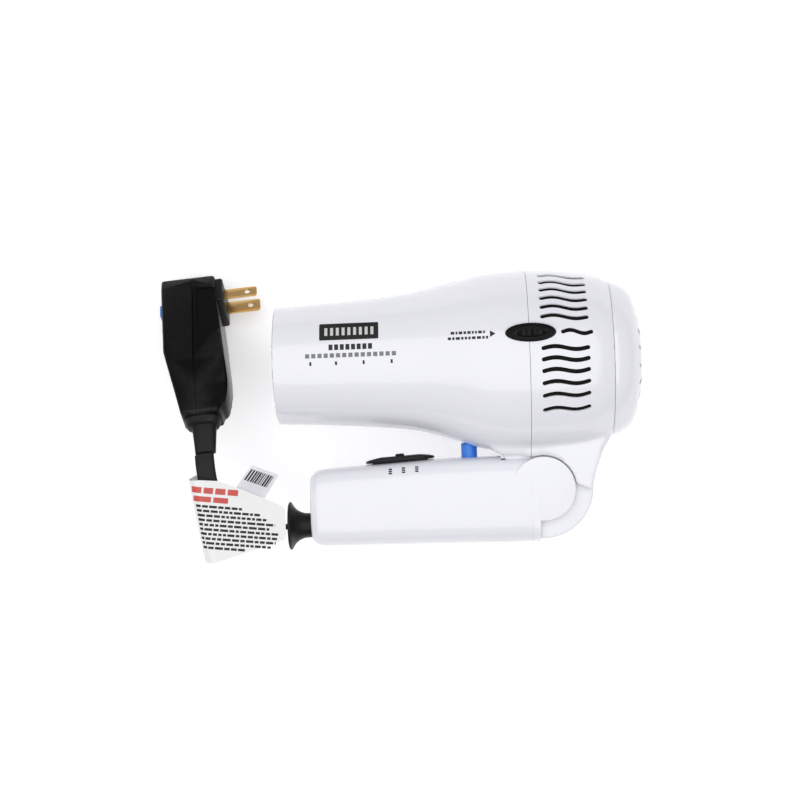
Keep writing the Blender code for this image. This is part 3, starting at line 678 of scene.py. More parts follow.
def settle(
    piece: Piece,
    place: Matrix,
    body: str,
    finish: Finish,
    replaces: Sequence[str] = (),
) -> Piece:
    """Set a finished piece into the world, dress it and hand it to its body.

    Args:
        piece: The finished mesh, in its own frame.
        place: Matrix from that frame to the world.
        body: Body that it rides on.
        finish: Its finish.
        replaces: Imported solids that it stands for.

    Returns:
        The piece.
    """
    piece.data.transform(place)
    piece.data.materials.clear()
    piece.data.materials.append(finish.material())
    alone(piece)
    bpy.ops.object.shade_smooth_by_angle(angle=SHARP)
    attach(piece, body)
    if replaces:
        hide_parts(*replaces)
    log.info("%s rides on %s: %d faces", piece.name, body, len(piece.data.polygons))
    return piece


def dress(node: str, finish: Finish) -> None:
    """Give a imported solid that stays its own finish."""
    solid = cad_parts[node]
    solid.data.materials.clear()
    solid.data.materials.append(finish.material())


def dress_all(finishes: dict[str, Finish]) -> None:
    """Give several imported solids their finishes."""
    for node, finish in finishes.items():
        dress(node, finish)


# Printing: thin plates that lie on a surface.


def patch(left: float, low: float, right: float, high: float) -> list[Point2]:
    """Return a plain printed rectangle."""
    return [(left, low), (right, low), (right, high), (left, high)]


def rounded_patch(low: Point2, high: Point2, radius: float) -> list[Point2]:
    """Return a printed rectangle with round corners."""
    left, right = low[0] + radius, high[0] - radius
    down, up = low[1] + radius, high[1] - radius
    corners = [((right, up), 0), ((left, up), 90), ((left, down), 180), ((right, down), 270)]
    return [point for at, turn in corners for point in arc(at, radius, turn, turn + 90, 5)]


def row_of_marks(
    left: float, right: float, high: float, low: float, widths: Sequence[float], space: float
) -> list[list[Point2]]:
    """Return one row of plain bars that fills the width between two edges.

    Args:
        left: Left edge.
        right: Right edge.
        high: Upper edge.
        low: Lower edge.
        widths: Relative width of each bar.
        space: Space between bars.

    Returns:
        Outlines of the bars.
    """
    share = (right - left - space * (len(widths) - 1)) / sum(widths)
    rows, x = [], left
    for width in widths:
        rows.append(patch(x, low, x + width * share, high))
        x += width * share + space
    return rows


def printed(
    name: str,
    outlines: Sequence[Sequence[Point2]],
    wrap: Callable[[float, float], Point3],
    steps: Point2 = (6.0, 1.2),
    thick: float = 0.07,
) -> Piece:
    """Lay flat outlines on a surface as thin plates.

    Args:
        name: Name of the piece.
        outlines: Outlines in the surface's own two measures.
        wrap: Map from those two measures to a point on the surface.
        steps: Spacing of the cuts that let a plate bend, along each measure.
        thick: Thickness of the print.

    Returns:
        All the plates as one piece.
    """
    plates = []
    for outline in outlines:
        bpy.ops.object.select_all(action="DESELECT")
        bpy.ops.mesh.primitive_circle_add(vertices=len(outline), fill_type="NGON")
        plate = started("plate")
        for vertex, (u, v) in zip(plate.data.vertices, outline):
            vertex.co = (u, v, 0.0)
        plates.append(plate)
    made = gathered(name, plates)
    edit(made)
    bpy.ops.mesh.normals_make_consistent(inside=False)
    for axis in (0, 1):
        places = [point[axis] for outline in outlines for point in outline]
        place = math.floor(min(places)) + steps[axis] / 2
        while place < max(places):
            at, normal = [0.0, 0.0, 0.0], [0.0, 0.0, 0.0]
            at[axis], normal[axis] = place, 1.0
            bpy.ops.mesh.select_all(action="SELECT")
            bpy.ops.mesh.bisect(plane_co=at, plane_no=normal)
            place += steps[axis]
    bpy.ops.object.mode_set(mode="OBJECT")
    facing = sum(polygon.normal.z for polygon in made.data.polygons)
    if facing < 0.0:
        made.data.flip_normals()
    for vertex in made.data.vertices:
        vertex.co = wrap(vertex.co.x, vertex.co.y)
    return applied(made, "SOLIDIFY", thickness=thick, offset=1.0)


# Sub-assemblies.


@dataclass
class Dryer:
    """Housing of the dryer: barrel, neck, rear cap, grilles, slots and printing."""

    BACK_X = 59.6
    SEAM_X = -1.7
    SEAM_GAP = 0.22
    CAP_X = 43.12

    barrel: list[Point2] = field(
        default_factory=lambda: [
            (-139.1, 32.0), (-138.3, 32.4), (-119.0, 33.3), (-90.0, 35.2), (-66.5, 37.7),
            (-53.4, 40.6), (-39.3, 44.5), (-26.0, 48.0), (-9.0, 49.6), (8.7, 49.2), (26.0, 47.6),
            (36.0, 45.5), (43.0, 42.6),
        ]
    )
    wall: float = 2.2
    slot_wall: float = 0.9
    nozzle_lift: float = 2.1
    lift_from: float = -14.0
    lift_to: float = -62.0
    pivot: Point2 = (4.3, -69.5)
    ear_radius: float = 17.4
    knuckle_radius: float = 27.2
    knuckle_half: float = 12.0
    neck_half: float = 18.3
    button_angle: float = 16.7
    button_x: float = -0.9
    slot_steps: tuple[float, ...] = (10.2, 17.1, 24.2, 31.8, 39.9, 49.8)
    slot_span: Point2 = (4.3, 30.0)
    short_slot: Point2 = (14.9, 32.0)
    slot_width: float = 2.3
    slot_wave: float = 0.9
    scallop_x: float = -36.8
    screw_y: float = -44.3
    screw_z: tuple[float, ...] = (12.0, -12.0)
    slot_depth: Point2 = (40.5, 55.0)
    hole_depth: Point2 = (42.0, 56.0)
    outlet_span: Point2 = (-134.5, -131.5)
    ring_half: float = 0.9
    cap_slots: int = 16
    screen_rings: int = 16
    least_facing: float = 0.55
    facing_power: float = 0.7

    def __post_init__(self) -> None:
        """Find the place of the dryer's frame and the smooth line of the barrel."""
        self.place = dryer_place()
        lip, body = self.barrel[:2], self.barrel[1:]
        self.line = [lip[0], *curve_through(body, 6)]

    def radius(self, x: float) -> float:
        """Return the barrel's outer radius at x."""
        for (x0, r0), (x1, r1) in zip(self.line, self.line[1:]):
            if x0 <= x <= x1:
                return r0 + (r1 - r0) * (x - x0) / (x1 - x0)
        return self.line[0][1] if x < self.line[0][0] else self.line[-1][1]

    def lift(self, x: float) -> float:
        """Return how far the barrel's middle line rises towards the nozzle."""
        share = min(max((self.lift_from - x) / (self.lift_from - self.lift_to), 0.0), 1.0)
        return self.nozzle_lift * share * share * (3.0 - 2.0 * share)

    def lifted(self, piece: Piece) -> Piece:
        """Raise a piece of the barrel along its middle line."""
        for vertex in piece.data.vertices:
            vertex.co.y += self.lift(vertex.co.x)
        return piece

    def wall_at(self, x: float) -> float:
        """Return the wall's thickness at x: thin behind the slots, where the screen backs it."""
        return self.slot_wall if 3.0 < x < 34.0 else self.wall

    def neck_outline(self, step: float) -> list[Point2]:
        """Return the wide part of the neck round the ears, grown inwards by step."""
        rear = [(33.4, -59.0), (36.2, -52.4), (38.6, -47.2), (42.0, -42.6), (38.0, -36.0)]
        rear = [(x - step * 0.95, y + step * 0.3) for x, y in rear]
        ears = arc(self.pivot, self.ear_radius + 0.5 + step, 108, 7, 36)
        front = [
            (-24.0 + step, -36.0), (-23.8 + step, -44.6), (-22.4 + step, -48.2 + step),
            (-17.6 + step, -50.9 + step), (-8.0, -50.9 + step),
        ]
        return front + ears + [(30.4 - step, -71.0 + step)] + rear

    def knuckle_outline(self) -> list[Point2]:
        """Return the narrow part of the neck, which turns between the ears."""
        front = [(-17.2, -36.0), (-17.2, -51.2), (-9.6, -62.2), (-9.6, -69.5), (-5.0, -80.0)]
        rear = [(33.4, -59.0), (37.8, -48.5), (36.0, -36.0)]
        return front + [(0.9, -95.0)] + arc(self.pivot, self.knuckle_radius, -95, 0, 40) + rear

    def knuckle_cavity(self) -> list[Point2]:
        """Return the room inside the narrow part."""
        front = [(-15.0, -34.0), (-15.0, -50.6), (-5.8, -63.5), (-20.0, -63.5)]
        front += [(-20.0, -100.0), (1.0, -100.0)]
        rear = [(31.2, -59.0), (35.6, -48.5), (33.0, -34.0)]
        return front + arc(self.pivot, self.knuckle_radius - self.wall, -97, 0, 24) + rear

    def outer_form(self) -> Piece:
        """Build the outside of the housing, its neck blended into the barrel.

        Returns:
            A closed dense form, exact on the barrel and filleted round the neck.
        """
        profile = [(self.line[0][0], 0.0), *self.line, (self.line[-1][0], 0.0)]
        form = lathe("outer", profile, 128)
        neck = eased(slab("neck", self.neck_outline(0.0), -self.neck_half, self.neck_half), 2.2, 3)
        carve(form, neck, Cut.ADD)
        applied(form, "REMESH", mode="VOXEL", voxel_size=1.15, adaptivity=0.0)
        self.blend_neck(form)
        knuckle = slab("knuckle", self.knuckle_outline(), -self.knuckle_half, self.knuckle_half)
        return carve(form, eased(knuckle, 1.2, 3), Cut.ADD, "MANIFOLD")

    def blend_neck(self, form: Piece) -> None:
        """Soften the joint of neck and barrel, and set all else on the turned line."""
        group = form.vertex_groups.new(name="joint")
        for vertex in form.data.vertices:
            x, y, z = vertex.co
            off = math.hypot(y, z) - self.radius(x)
            near = y < -30.0 and -36.0 < x < 42.0
            weight = 1.0 if near and -7.0 < off < 9.0 and abs(z) < 30.0 else 0.0
            group.add([vertex.index], weight, "REPLACE")
        applied(form, "SMOOTH", factor=0.5, iterations=26, vertex_group="joint")
        first, last = self.line[0][0], self.line[-1][0]
        for vertex in form.data.vertices:
            x, y, z = vertex.co
            distance = math.hypot(y, z)
            wanted = self.radius(x)
            if y < -34.0 and -30.0 < x < 41.5 and distance > wanted - 0.25 and abs(z) < 27.0:
                continue
            if x < first + 0.8 and distance < wanted - 0.6:
                vertex.co.x = first
            elif x > last - 0.8 and distance < wanted - 0.6:
                vertex.co.x = last
            elif distance > wanted - 1.2:
                vertex.co.y *= wanted / distance
                vertex.co.z *= wanted / distance

    def inner_form(self) -> Piece:
        """Build the room inside the housing, with the pad that backs the button's hollow."""
        bore = [(x, r - self.wall_at(x)) for x, r in self.line]
        profile = [(-150.0, 0.0), (-150.0, bore[0][1]), *bore[1:], (50.0, bore[-1][1]), (50.0, 0.0)]
        form = lathe("inner", profile, 96)
        half = self.neck_half - self.wall
        carve(form, slab("neck", self.neck_outline(self.wall), -half, half), Cut.ADD)
        half = self.knuckle_half - self.wall
        carve(form, slab("knuckle", self.knuckle_cavity(), -half, half), Cut.ADD)
        pad = [(-60.0, 0.0), (-60.0, 10.2), (-40.9, 9.4), (-40.9, 0.0)]
        carve(form, lathe("pad", pad, 32, Axis.Y, (self.scallop_x, 0, 0)), Cut.TAKE)
        for z in self.screw_z:
            boss = rod("boss", (-23.0, self.screw_y, z), (42.0, self.screw_y, z), 3.6, 24)
            carve(form, boss, Cut.TAKE)
        return form

    def slot(self, angle: float, span: Point2, side: int) -> Piece:
        """Build the tool for one wavy slot.

        Args:
            angle: Angle above the horizontal, in degrees.
            span: Start and end along X.
            side: 1 for the near side, -1 for the far side.

        Returns:
            A closed tool with rounded ends.
        """
        spread = max(math.cos(math.radians(angle)), self.least_facing) ** -self.facing_power
        half, count = spread * self.slot_width / 2, 14
        start, end = span[0] + half, span[1] - half
        upper, lower = [], []
        for i in range(count + 1):
            share = i / count
            wave = spread * self.slot_wave * math.sin(FULL_TURN * share)
            upper.append((start + (end - start) * share, wave + half))
            lower.append((start + (end - start) * share, wave - half))
        cap_end = arc((end, 0.0), half, -60, 60, 5)
        cap_start = arc((start, 0.0), half, 120, 240, 5)
        made = slab("slot", lower + cap_end + upper[::-1] + cap_start, *self.slot_depth)
        if side < 0:
            made.data.transform(Matrix.Rotation(math.pi, 4, "X"))
            made.data.transform(Matrix.Scale(-1, 4, (0, 1, 0)))
            edit(made)
            leave(made)
        return rolled(made, -angle * side)

    def slots(self) -> Piece:
        """Build the tool for all the slots of both sides."""
        tools = []
        for side in (1, -1):
            for step in self.slot_steps:
                tools.append(self.slot(self.button_angle + step, self.slot_span, side))
                tools.append(self.slot(self.button_angle - step, self.slot_span, side))
            tools.append(self.slot(self.button_angle, self.short_slot, side))
        return gathered("slots", tools)

    def button_outline(self, grow: float, share: float = 1.0, count: int = 64) -> list[Point2]:
        """Return the oval of the retract button."""
        wide, tall = 13.0 * share + grow, 4.85 * share + grow
        turns = [FULL_TURN * i / count for i in range(count)]
        return [(wide * math.cos(a) + self.button_x, tall * math.sin(a)) for a in turns]

    def build_shells(self) -> None:
        """Build the front and rear housings from one shell."""
        shell = carve(self.outer_form(), self.inner_form(), Cut.TAKE, "MANIFOLD")
        scallop = [(-60.0, 0.0), (-60.0, 8.6), (-44.2, 7.7), (-43.2, 6.9), (-42.9, 5.8), (-42.9, 0.0)]
        tool = lathe("scallop", scallop, 64, Axis.Y, (self.scallop_x, 0, 0))
        carve(shell, tool, Cut.TAKE, "MANIFOLD")
        hole = rolled(slab("hole", self.button_outline(0.4), *self.hole_depth), -self.button_angle)
        carve(shell, hole, Cut.TAKE, "MANIFOLD")
        pin = rod("pin", (*self.pivot, -30.0), (*self.pivot, 30.0), PIN_RADIUS)
        carve(shell, pin, Cut.TAKE, "MANIFOLD")
        for z in self.screw_z:
            head = rod("head", (33.6, self.screw_y, z), (60.0, self.screw_y, z), 2.7, 32)
            carve(shell, head, Cut.TAKE, "MANIFOLD")
        self.lifted(shell)
        front = twin(shell, "housing_front")
        half = self.SEAM_GAP / 2
        rear_side = box("rear_side", (self.SEAM_X - half, -150, -100), (200, 100, 100))
        carve(front, rear_side, Cut.TAKE, "MANIFOLD")
        shell.name = "housing_rear"
        front_side = box("front_side", (-200, -150, -100), (self.SEAM_X + half, 100, 100))
        carve(shell, front_side, Cut.TAKE, "MANIFOLD")
        carve(shell, self.slots(), Cut.TAKE, "MANIFOLD")
        settle(front, self.place, "housing", WHITE, ["front_housing"])
        settle(shell, self.place, "housing", WHITE, ["rear_housing"])

    def build_rear_cap(self) -> None:
        """Build the dished rear cap with its ring of fine slots, and the hub grille behind it."""
        rim = [(self.CAP_X, 41.6), (44.4, 41.85), (47.5, 40.9), (51.0, 39.1), (54.2, 36.2), (56.5, 31.8)]
        outer = curve_through(rim, 5)
        inner = [(56.5, 29.9), (54.5, 29.9), (52.4, 34.4), (49.6, 36.7), (self.CAP_X, 39.2)]
        cap = lathe("rear_cap_shell", outer + inner, 128)
        settle(cap, self.place, "housing", WHITE, ["rear_cap"])

        face = [(self.BACK_X, 0.0), (self.BACK_X, 6.0), (self.BACK_X, 16.8), (59.0, 21.5)]
        face += [(57.2, 26.5), (55.0, 29.5)]
        under = [(53.2, 29.5), (55.4, 25.2), (57.2, 20.4), (57.8, 15.8), (57.8, 0.0)]
        grille = lathe("rear_grille_disc", face[:2] + curve_through(face[2:], 4) + under, 128)
        openings = []
        for i in range(self.cap_slots):
            opening = box("opening", (50.0, 9.0, -1.1), (62.0, 26.0, 1.1))
            openings.append(rolled(eased(opening, 0.9, 3), 360.0 * (i + 0.5) / self.cap_slots))
        carve(grille, gathered("openings", openings), Cut.TAKE, "MANIFOLD")
        settle(grille, self.place, "housing", WHITE, ["rear_grille"])

    def build_screen(self) -> None:
        """Build the woven screen that backs the slots, open at the neck and round the button."""
        spans = [3.6 + 29.8 * i / self.screen_rings for i in range(self.screen_rings + 1)]
        outer = [(x, self.radius(x) - self.slot_wall - 0.25) for x in spans]
        inner = [(x, r - 0.5) for x, r in reversed(outer)]
        screen = lathe("slot_screen", outer + inner, 128)
        carve(screen, box("neck", (2.0, -60.0, -22.0), (40.0, -25.0, 22.0)), Cut.TAKE)
        hole = rolled(slab("hole", self.button_outline(1.2), *self.hole_depth), -self.button_angle)
        carve(screen, hole, Cut.TAKE)
        settle(screen, self.place, "housing", SCREEN, ["intake_screen"])

    def build_outlet(self) -> None:
        """Build the grille in the nozzle: rings and bars."""
        front, back = self.outlet_span
        grille = lathe("outlet_rings", [(front, 26.5), (front, 28.9), (back, 28.9), (back, 26.5)])
        for radius in (9.0, 18.0):
            near, far = radius - self.ring_half, radius + self.ring_half
            ring = [(front, near), (front, far), (back, far), (back, near)]
            carve(grille, lathe("ring", ring, 64), Cut.ADD)
        for i in range(3):
            bar = box("bar", (-134.2, -27.5, -0.7), (-131.8, 27.5, 0.7))
            carve(grille, rolled(bar, 60.0 * i), Cut.ADD)
        settle(self.lifted(grille), self.place, "housing", BLACK_SATIN, ["outlet_grille"])

    def build_retract_button(self) -> None:
        """Build the dished oval button with raised ribs in its dish."""
        button = slab("retract_key", self.button_outline(0.0), 45.6, 51.1)
        eased(button, 0.7, 4)
        dish = slab("dish", self.button_outline(0.0, 0.7), 50.35, 53.0)
        carve(button, eased(dish, 0.5, 3), Cut.TAKE)
        for x in (-4.6, -1.6, 1.4, 4.4):
            rib = slab("rib", patch(x - 0.5, -1.9, x + 0.5, 1.9), 50.2, 50.8)
            carve(button, eased(rib, 0.2, 2), Cut.ADD)
        carve(button, box("stem", (-9.0, -2.0, 41.9), (-7.0, 2.0, 46.5)), Cut.ADD)
        rolled(button, -self.button_angle)
        settle(button, self.place, "retract", BLACK, ["retract_button"])

    def dress_inside(self) -> None:
        """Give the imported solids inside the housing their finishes."""
        finishes = {
            "lint_screen": SCREEN, "mica_sleeve": MICA, "mica_cross": MICA,
            "heating_coil": COPPER, "thermal_fuse": STEEL, "motor_can": STEEL, "motor_rotor": COPPER,
            "fan_impeller": BLACK_SATIN, "air_guide": BLACK_SATIN, "reel_bracket": BLACK_SATIN,
            "reel_drum": BLACK, "wound_cord": CORD_BLACK, "reel_spring_case": BLACK_SATIN,
            "reel_spring": STEEL, "reel_axle": STEEL, "brake_lever": BLACK_SATIN,
            "cord_in_neck": CORD_BLACK, "housing_screw_1": STEEL, "housing_screw_2": STEEL,
        }
        dress_all(finishes)

    def on_barrel(self, rise: float) -> Callable[[float, float], Point3]:
        """Return a map from (x, height above the middle) to a point just off the barrel."""

        def wrap(x: float, y: float) -> Point3:
            """Lay a printed point on the barrel."""
            outer, across = self.radius(x) + rise, y - self.lift(x)
            return (x, y, math.sqrt(max(outer * outer - across * across, 0.0)))

        return wrap

    def build_printing(self) -> None:
        """Print the badge, the plain rows of marks and the arrow on the near side."""
        badge = [rounded_patch((-113.2, 14.3), (-81.4, 23.2), 0.5)]
        settle(printed("badge", badge, self.on_barrel(PRINT_RISE)), self.place, "housing", INK)
        lines = row_of_marks(-110.4, -84.0, 20.9, 16.7, (1.0,) * 9, 1.5)
        settle(printed("badge_lines", lines, self.on_barrel(OVER_RISE)), self.place, "housing", SILVER_INK)

        rows = row_of_marks(-108.2, -84.9, 11.9, 8.9, (1.0,) * 8, 0.9)
        rows += [patch(x - 0.55, 0.9, x + 0.55, 2.9) for x in (-118.2, -104.4, -89.6, -74.6)]
        settle(printed("row_marks", rows, self.on_barrel(PRINT_RISE)), self.place, "housing", INK)

        thin = row_of_marks(-120.9, -72.2, 7.2, 4.9, (1.0,) * 15, 1.1)
        settle(printed("light_row", thin, self.on_barrel(PRINT_RISE)), self.place, "housing", GREY_INK)

        hint = row_of_marks(-42.8, -24.8, 16.0, 14.6, (2, 1, 2, 1.4, 1.8, 1, 1, 2, 1), 0.7)
        hint += row_of_marks(-44.4, -23.2, 13.1, 11.7, (1.4, 1, 1.8, 1, 1, 1, 1.6, 1.8, 1, 1), 0.7)
        hint.append([(-22.2, 15.9), (-22.2, 12.5), (-19.3, 14.2)])
        settle(printed("arrow_and_hint", hint, self.on_barrel(PRINT_RISE)), self.place, "housing", INK)

    def build(self) -> None:
        """Build the whole housing."""
        self.build_shells()
        self.build_rear_cap()
        self.build_screen()
        self.build_outlet()
        self.build_retract_button()
        self.build_printing()
        self.dress_inside()


@dataclass
class Handle:
    """Folded handle: two shells, switch, cool-shot button, cord guide and hinge."""

    place: Matrix
    pivot: Point2 = (4.3, -69.5)
    ear_radius: float = 17.4
    ear_inner: float = 12.6
    ear_outer: float = 18.5
    stations: list[tuple[float, float, float, float]] = field(
        default_factory=lambda: [
            (-122.7, -61.5, -91.5, 12.5), (-122.4, -59.6, -93.5, 14.2), (-121.6, -58.3, -94.8, 15.4),
            (-119.0, -56.3, -96.9, 17.2), (-112.0, -55.1, -97.6, 18.0), (-83.0, -53.4, -97.9, 18.3),
            (-54.0, -51.8, -98.2, 18.6), (-18.0, -51.4, -98.7, 18.9), (-2.0, -51.5, -98.7, 18.9),
        ]
    )
    power: float = 2.0 / 3.4
    wall: float = 2.0
    cord_y: float = -86.2
    switch_at: Point2 = (-73.2, -52.85)
    switch_slope: float = math.atan2(3.3, 58.0)
    cool_x: float = -35.2
    cool_radius: float = 4.4
    cool_top: float = -43.6

    def ring(self, x: float, top: float, bottom: float, half: float, inset: float) -> list[Point3]:
        """Return the rounded section of the handle across X, shrunk by inset."""
        count = 72
        middle, tall, wide = (top + bottom) / 2, (top - bottom) / 2 - inset, half - inset
        turns = [FULL_TURN * (i + 0.5) / count for i in range(count)]
        return [
            (
                x,
                middle + tall * rounded_power(math.sin(a), self.power),
                wide * rounded_power(math.cos(a), self.power),
            )
            for a in turns
        ]

    def side_z(self, x: float, y: float) -> float:
        """Return how far the handle's side stands out at a point."""
        for first, after in zip(self.stations, self.stations[1:]):
            if first[0] <= x <= after[0]:
                share = (x - first[0]) / (after[0] - first[0])
                top, bottom, half = (a + (b - a) * share for a, b in zip(first[1:], after[1:]))
                up = abs(y - (top + bottom) / 2) / ((top - bottom) / 2)
                return half * (1.0 - min(up, 1.0) ** (2.0 / self.power)) ** (self.power / 2.0)
        return self.ear_outer

    def room(self) -> Piece:
        """Build the room inside the handle, and the round room in which the neck turns."""
        inner = self.stations[3:8]
        room = loft("room", [self.ring(*station, self.wall) for station in inner])
        turning = arc(self.pivot, 27.7, 180, 272, 48)
        turning += [(60.0, -97.0), (60.0, -30.0), (-18.1, -30.0), (-18.1, -53.6), (-23.4, -53.6)]
        return carve(room, slab("turning", turning, -self.ear_inner, self.ear_inner), Cut.ADD)

    def in_switch(self, target: Piece) -> Piece:
        """Set a shape from the switch's frame onto the handle's inner face."""
        turn = Matrix.Rotation(self.switch_slope, 4, "Z")
        target.data.transform(Matrix.Translation((*self.switch_at, 0.0)) @ turn)
        return target

    def build_shells(self) -> None:
        """Build both half shells from one body, with a fine groove where they meet."""
        head, tail = self.stations[:4], self.stations[3:]
        dense = curve_through(head, 4)[:-1] + curve_through(tail, 5)
        end = self.stations[-1]
        step_down = (end[0] + 0.05, -60.0, end[2], end[3])
        dense += [step_down, (2.1, -60.0, end[2], end[3])]
        body = loft("body", [self.ring(*station, 0.0) for station in dense])
        edge = 0.9
        ears = lathe(
            "ears",
            [
                (-self.ear_outer, 0.0), (-self.ear_outer, self.ear_radius - edge),
                (-self.ear_outer + 0.27 * edge, self.ear_radius - 0.27 * edge),
                (-self.ear_outer + edge, self.ear_radius), (self.ear_outer - edge, self.ear_radius),
                (self.ear_outer - 0.27 * edge, self.ear_radius - 0.27 * edge),
                (self.ear_outer, self.ear_radius - edge), (self.ear_outer, 0.0),
            ],
            128,
            Axis.Z,
            (*self.pivot, 0.0),
        )
        carve(body, ears, Cut.ADD)
        carve(body, self.room(), Cut.TAKE)
        x_mouth, y_cord = -130.0, self.cord_y
        carve(body, rod("guide", (x_mouth, y_cord, 0), (-115, y_cord, 0), 7.1), Cut.TAKE)
        cool = rod("cool", (self.cool_x, -60, 0), (self.cool_x, -40, 0), self.cool_radius + 0.35)
        carve(body, cool, Cut.TAKE)
        pins = rod("pins", (*self.pivot, -16.0), (*self.pivot, 16.0), PIN_RADIUS)
        carve(body, pins, Cut.TAKE)
        window = box("window", (-15.5, -6.0, -6.3), (15.5, 6.0, 6.3))
        carve(body, self.in_switch(window), Cut.TAKE)
        for x, y in ((-93.0, -77.0), (-48.0, -75.0)):
            carve(body, rod("head", (x, y, -30), (x, y, -15.4), 3.0, 32), Cut.TAKE)
        left = twin(body, "handle_half_left")
        carve(left, box("below", (-200, -150, -60), (60, 0, 0.14)), Cut.TAKE)
        body.name = "handle_half_right"
        carve(body, box("above", (-200, -150, -0.14), (60, 0, 60)), Cut.TAKE)
        settle(left, self.place, "handle", WHITE, ["handle_shell_left"])
        settle(body, self.place, "handle", WHITE, ["handle_shell_right"])

    def build_switch(self) -> None:
        """Build the oval bezel of the switch, its slot and the ribbed nub that slides in it."""
        ends = arc((11.0, 0.0), 8.0, -90, 90, 24) + arc((-11.0, 0.0), 8.0, 90, 270, 24)
        bezel = slab("switch_oval", [(z, x) for x, z in ends], 0.4, 2.4, Axis.Y)
        eased(bezel, 0.8, 4)
        for vertex in bezel.data.vertices:
            if vertex.co.y > 1.0:
                share = vertex.co.x / 19.0
                vertex.co.y += 1.3 - 1.9 * share * share
        carve(bezel, box("skirt", (-15.0, -3.4, -5.8), (15.0, 1.0, 5.8)), Cut.ADD)
        dish = box("dish", (-12.4, 2.4, -4.0), (12.4, 6.0, 4.0))
        carve(bezel, eased(dish, 0.7, 3), Cut.TAKE)
        carve(bezel, box("slot", (-9.2, -8.0, -2.6), (9.2, 8.0, 2.6)), Cut.TAKE)
        settle(self.in_switch(bezel), self.place, "handle", BLACK_SATIN, ["switch_bezel"])
        nub = eased(box("switch_nub", (-2.4, -3.0, -2.2), (2.4, 4.6, 2.2)), 0.9, 4)
        for x in (-1.2, 0.0, 1.2):
            groove = box("groove", (x - 0.22, 4.35, -3.0), (x + 0.22, 5.4, 3.0))
            carve(nub, groove, Cut.TAKE)
        carve(nub, box("shoe", (-6.0, -5.2, -4.6), (6.0, -3.8, 4.6)), Cut.ADD)
        carve(nub, box("post", (-2.0, -4.4, -2.0), (2.0, -2.0, 2.0)), Cut.ADD)
        settle(self.in_switch(nub), self.place, "switch", BLACK, ["switch_slider"])

    def build_cool_button(self) -> None:
        """Build the domed cool-shot button with its flange."""
        crown = arc((self.cool_top - 1.2, self.cool_radius - 1.2), 1.2, 90, 0, 6)
        top = [(self.cool_top - 0.15, 2.0), (self.cool_top - 0.2, 0.0)]
        low = [(-60.8, 0.0), (-60.8, 5.6), (-59.6, 5.6), (-59.6, self.cool_radius)]
        profile = low + crown + top
        key = lathe("cool_shot_key", profile, 64, Axis.Y, (self.cool_x, 0, 0))
        settle(key, self.place, "cool_button", BLUE, ["cool_shot_button"])

    def build_cord_guide(self) -> None:
        """Build the trumpet that guides the cord out of the handle's end."""
        outer = [
            (-135.6, 12.4), (-135.1, 13.1), (-134.2, 13.0), (-132.4, 10.2), (-130.4, 8.4),
            (-127.6, 7.1), (-125.0, 6.75), (-118.6, 6.75),
        ]
        flange = [(-118.6, 8.6), (-117.2, 8.6), (-117.2, 5.8)]
        inner = [(-127.4, 5.8), (-130.0, 6.6), (-132.0, 8.2), (-134.2, 11.0), (-135.6, 12.4)]
        profile = curve_through(outer, 4) + flange + curve_through(inner, 4)[:-1]
        guide = lathe("cord_guide", profile, 72, Axis.X, (0, self.cord_y, 0))
        settle(guide, self.place, "handle", BLACK_SATIN, ["cord_trumpet"])

    def build_printing(self) -> None:
        """Print three small setting marks below the switch."""

        def wrap(x: float, y: float) -> Point3:
            """Lay a printed point on the handle's near side."""
            return (x, y, self.side_z(x, y) + PRINT_RISE)

        marks = []
        for i, (x, tall) in enumerate(((-78.3, 3.6), (-71.1, 3.4), (-63.9, 3.4))):
            base = -55.4 + 0.3 * i
            for k in range(3):
                low = base - tall + 1.1 * k
                marks.append(patch(x - 0.9, low, x + 0.9, low + 0.75))
        settle(printed("setting_marks", marks, wrap, (6.0, 0.8)), self.place, "handle", INK)

    def dress_inside(self) -> None:
        """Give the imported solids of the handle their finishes."""
        finishes = {
            "switch_module": BLACK_SATIN, "cool_shot_switch": BLACK_SATIN, "ion_module": BLACK_SATIN,
            "cord_in_handle": CORD_BLACK, "hinge_pin_left": STEEL, "hinge_pin_right": STEEL,
            "handle_screw_1": STEEL, "handle_screw_2": STEEL,
        }
        dress_all(finishes)

    def build(self) -> None:
        """Build the whole handle."""
        self.build_shells()
        self.build_switch()
        self.build_cool_button()
        self.build_cord_guide()
        self.build_printing()
        self.dress_inside()


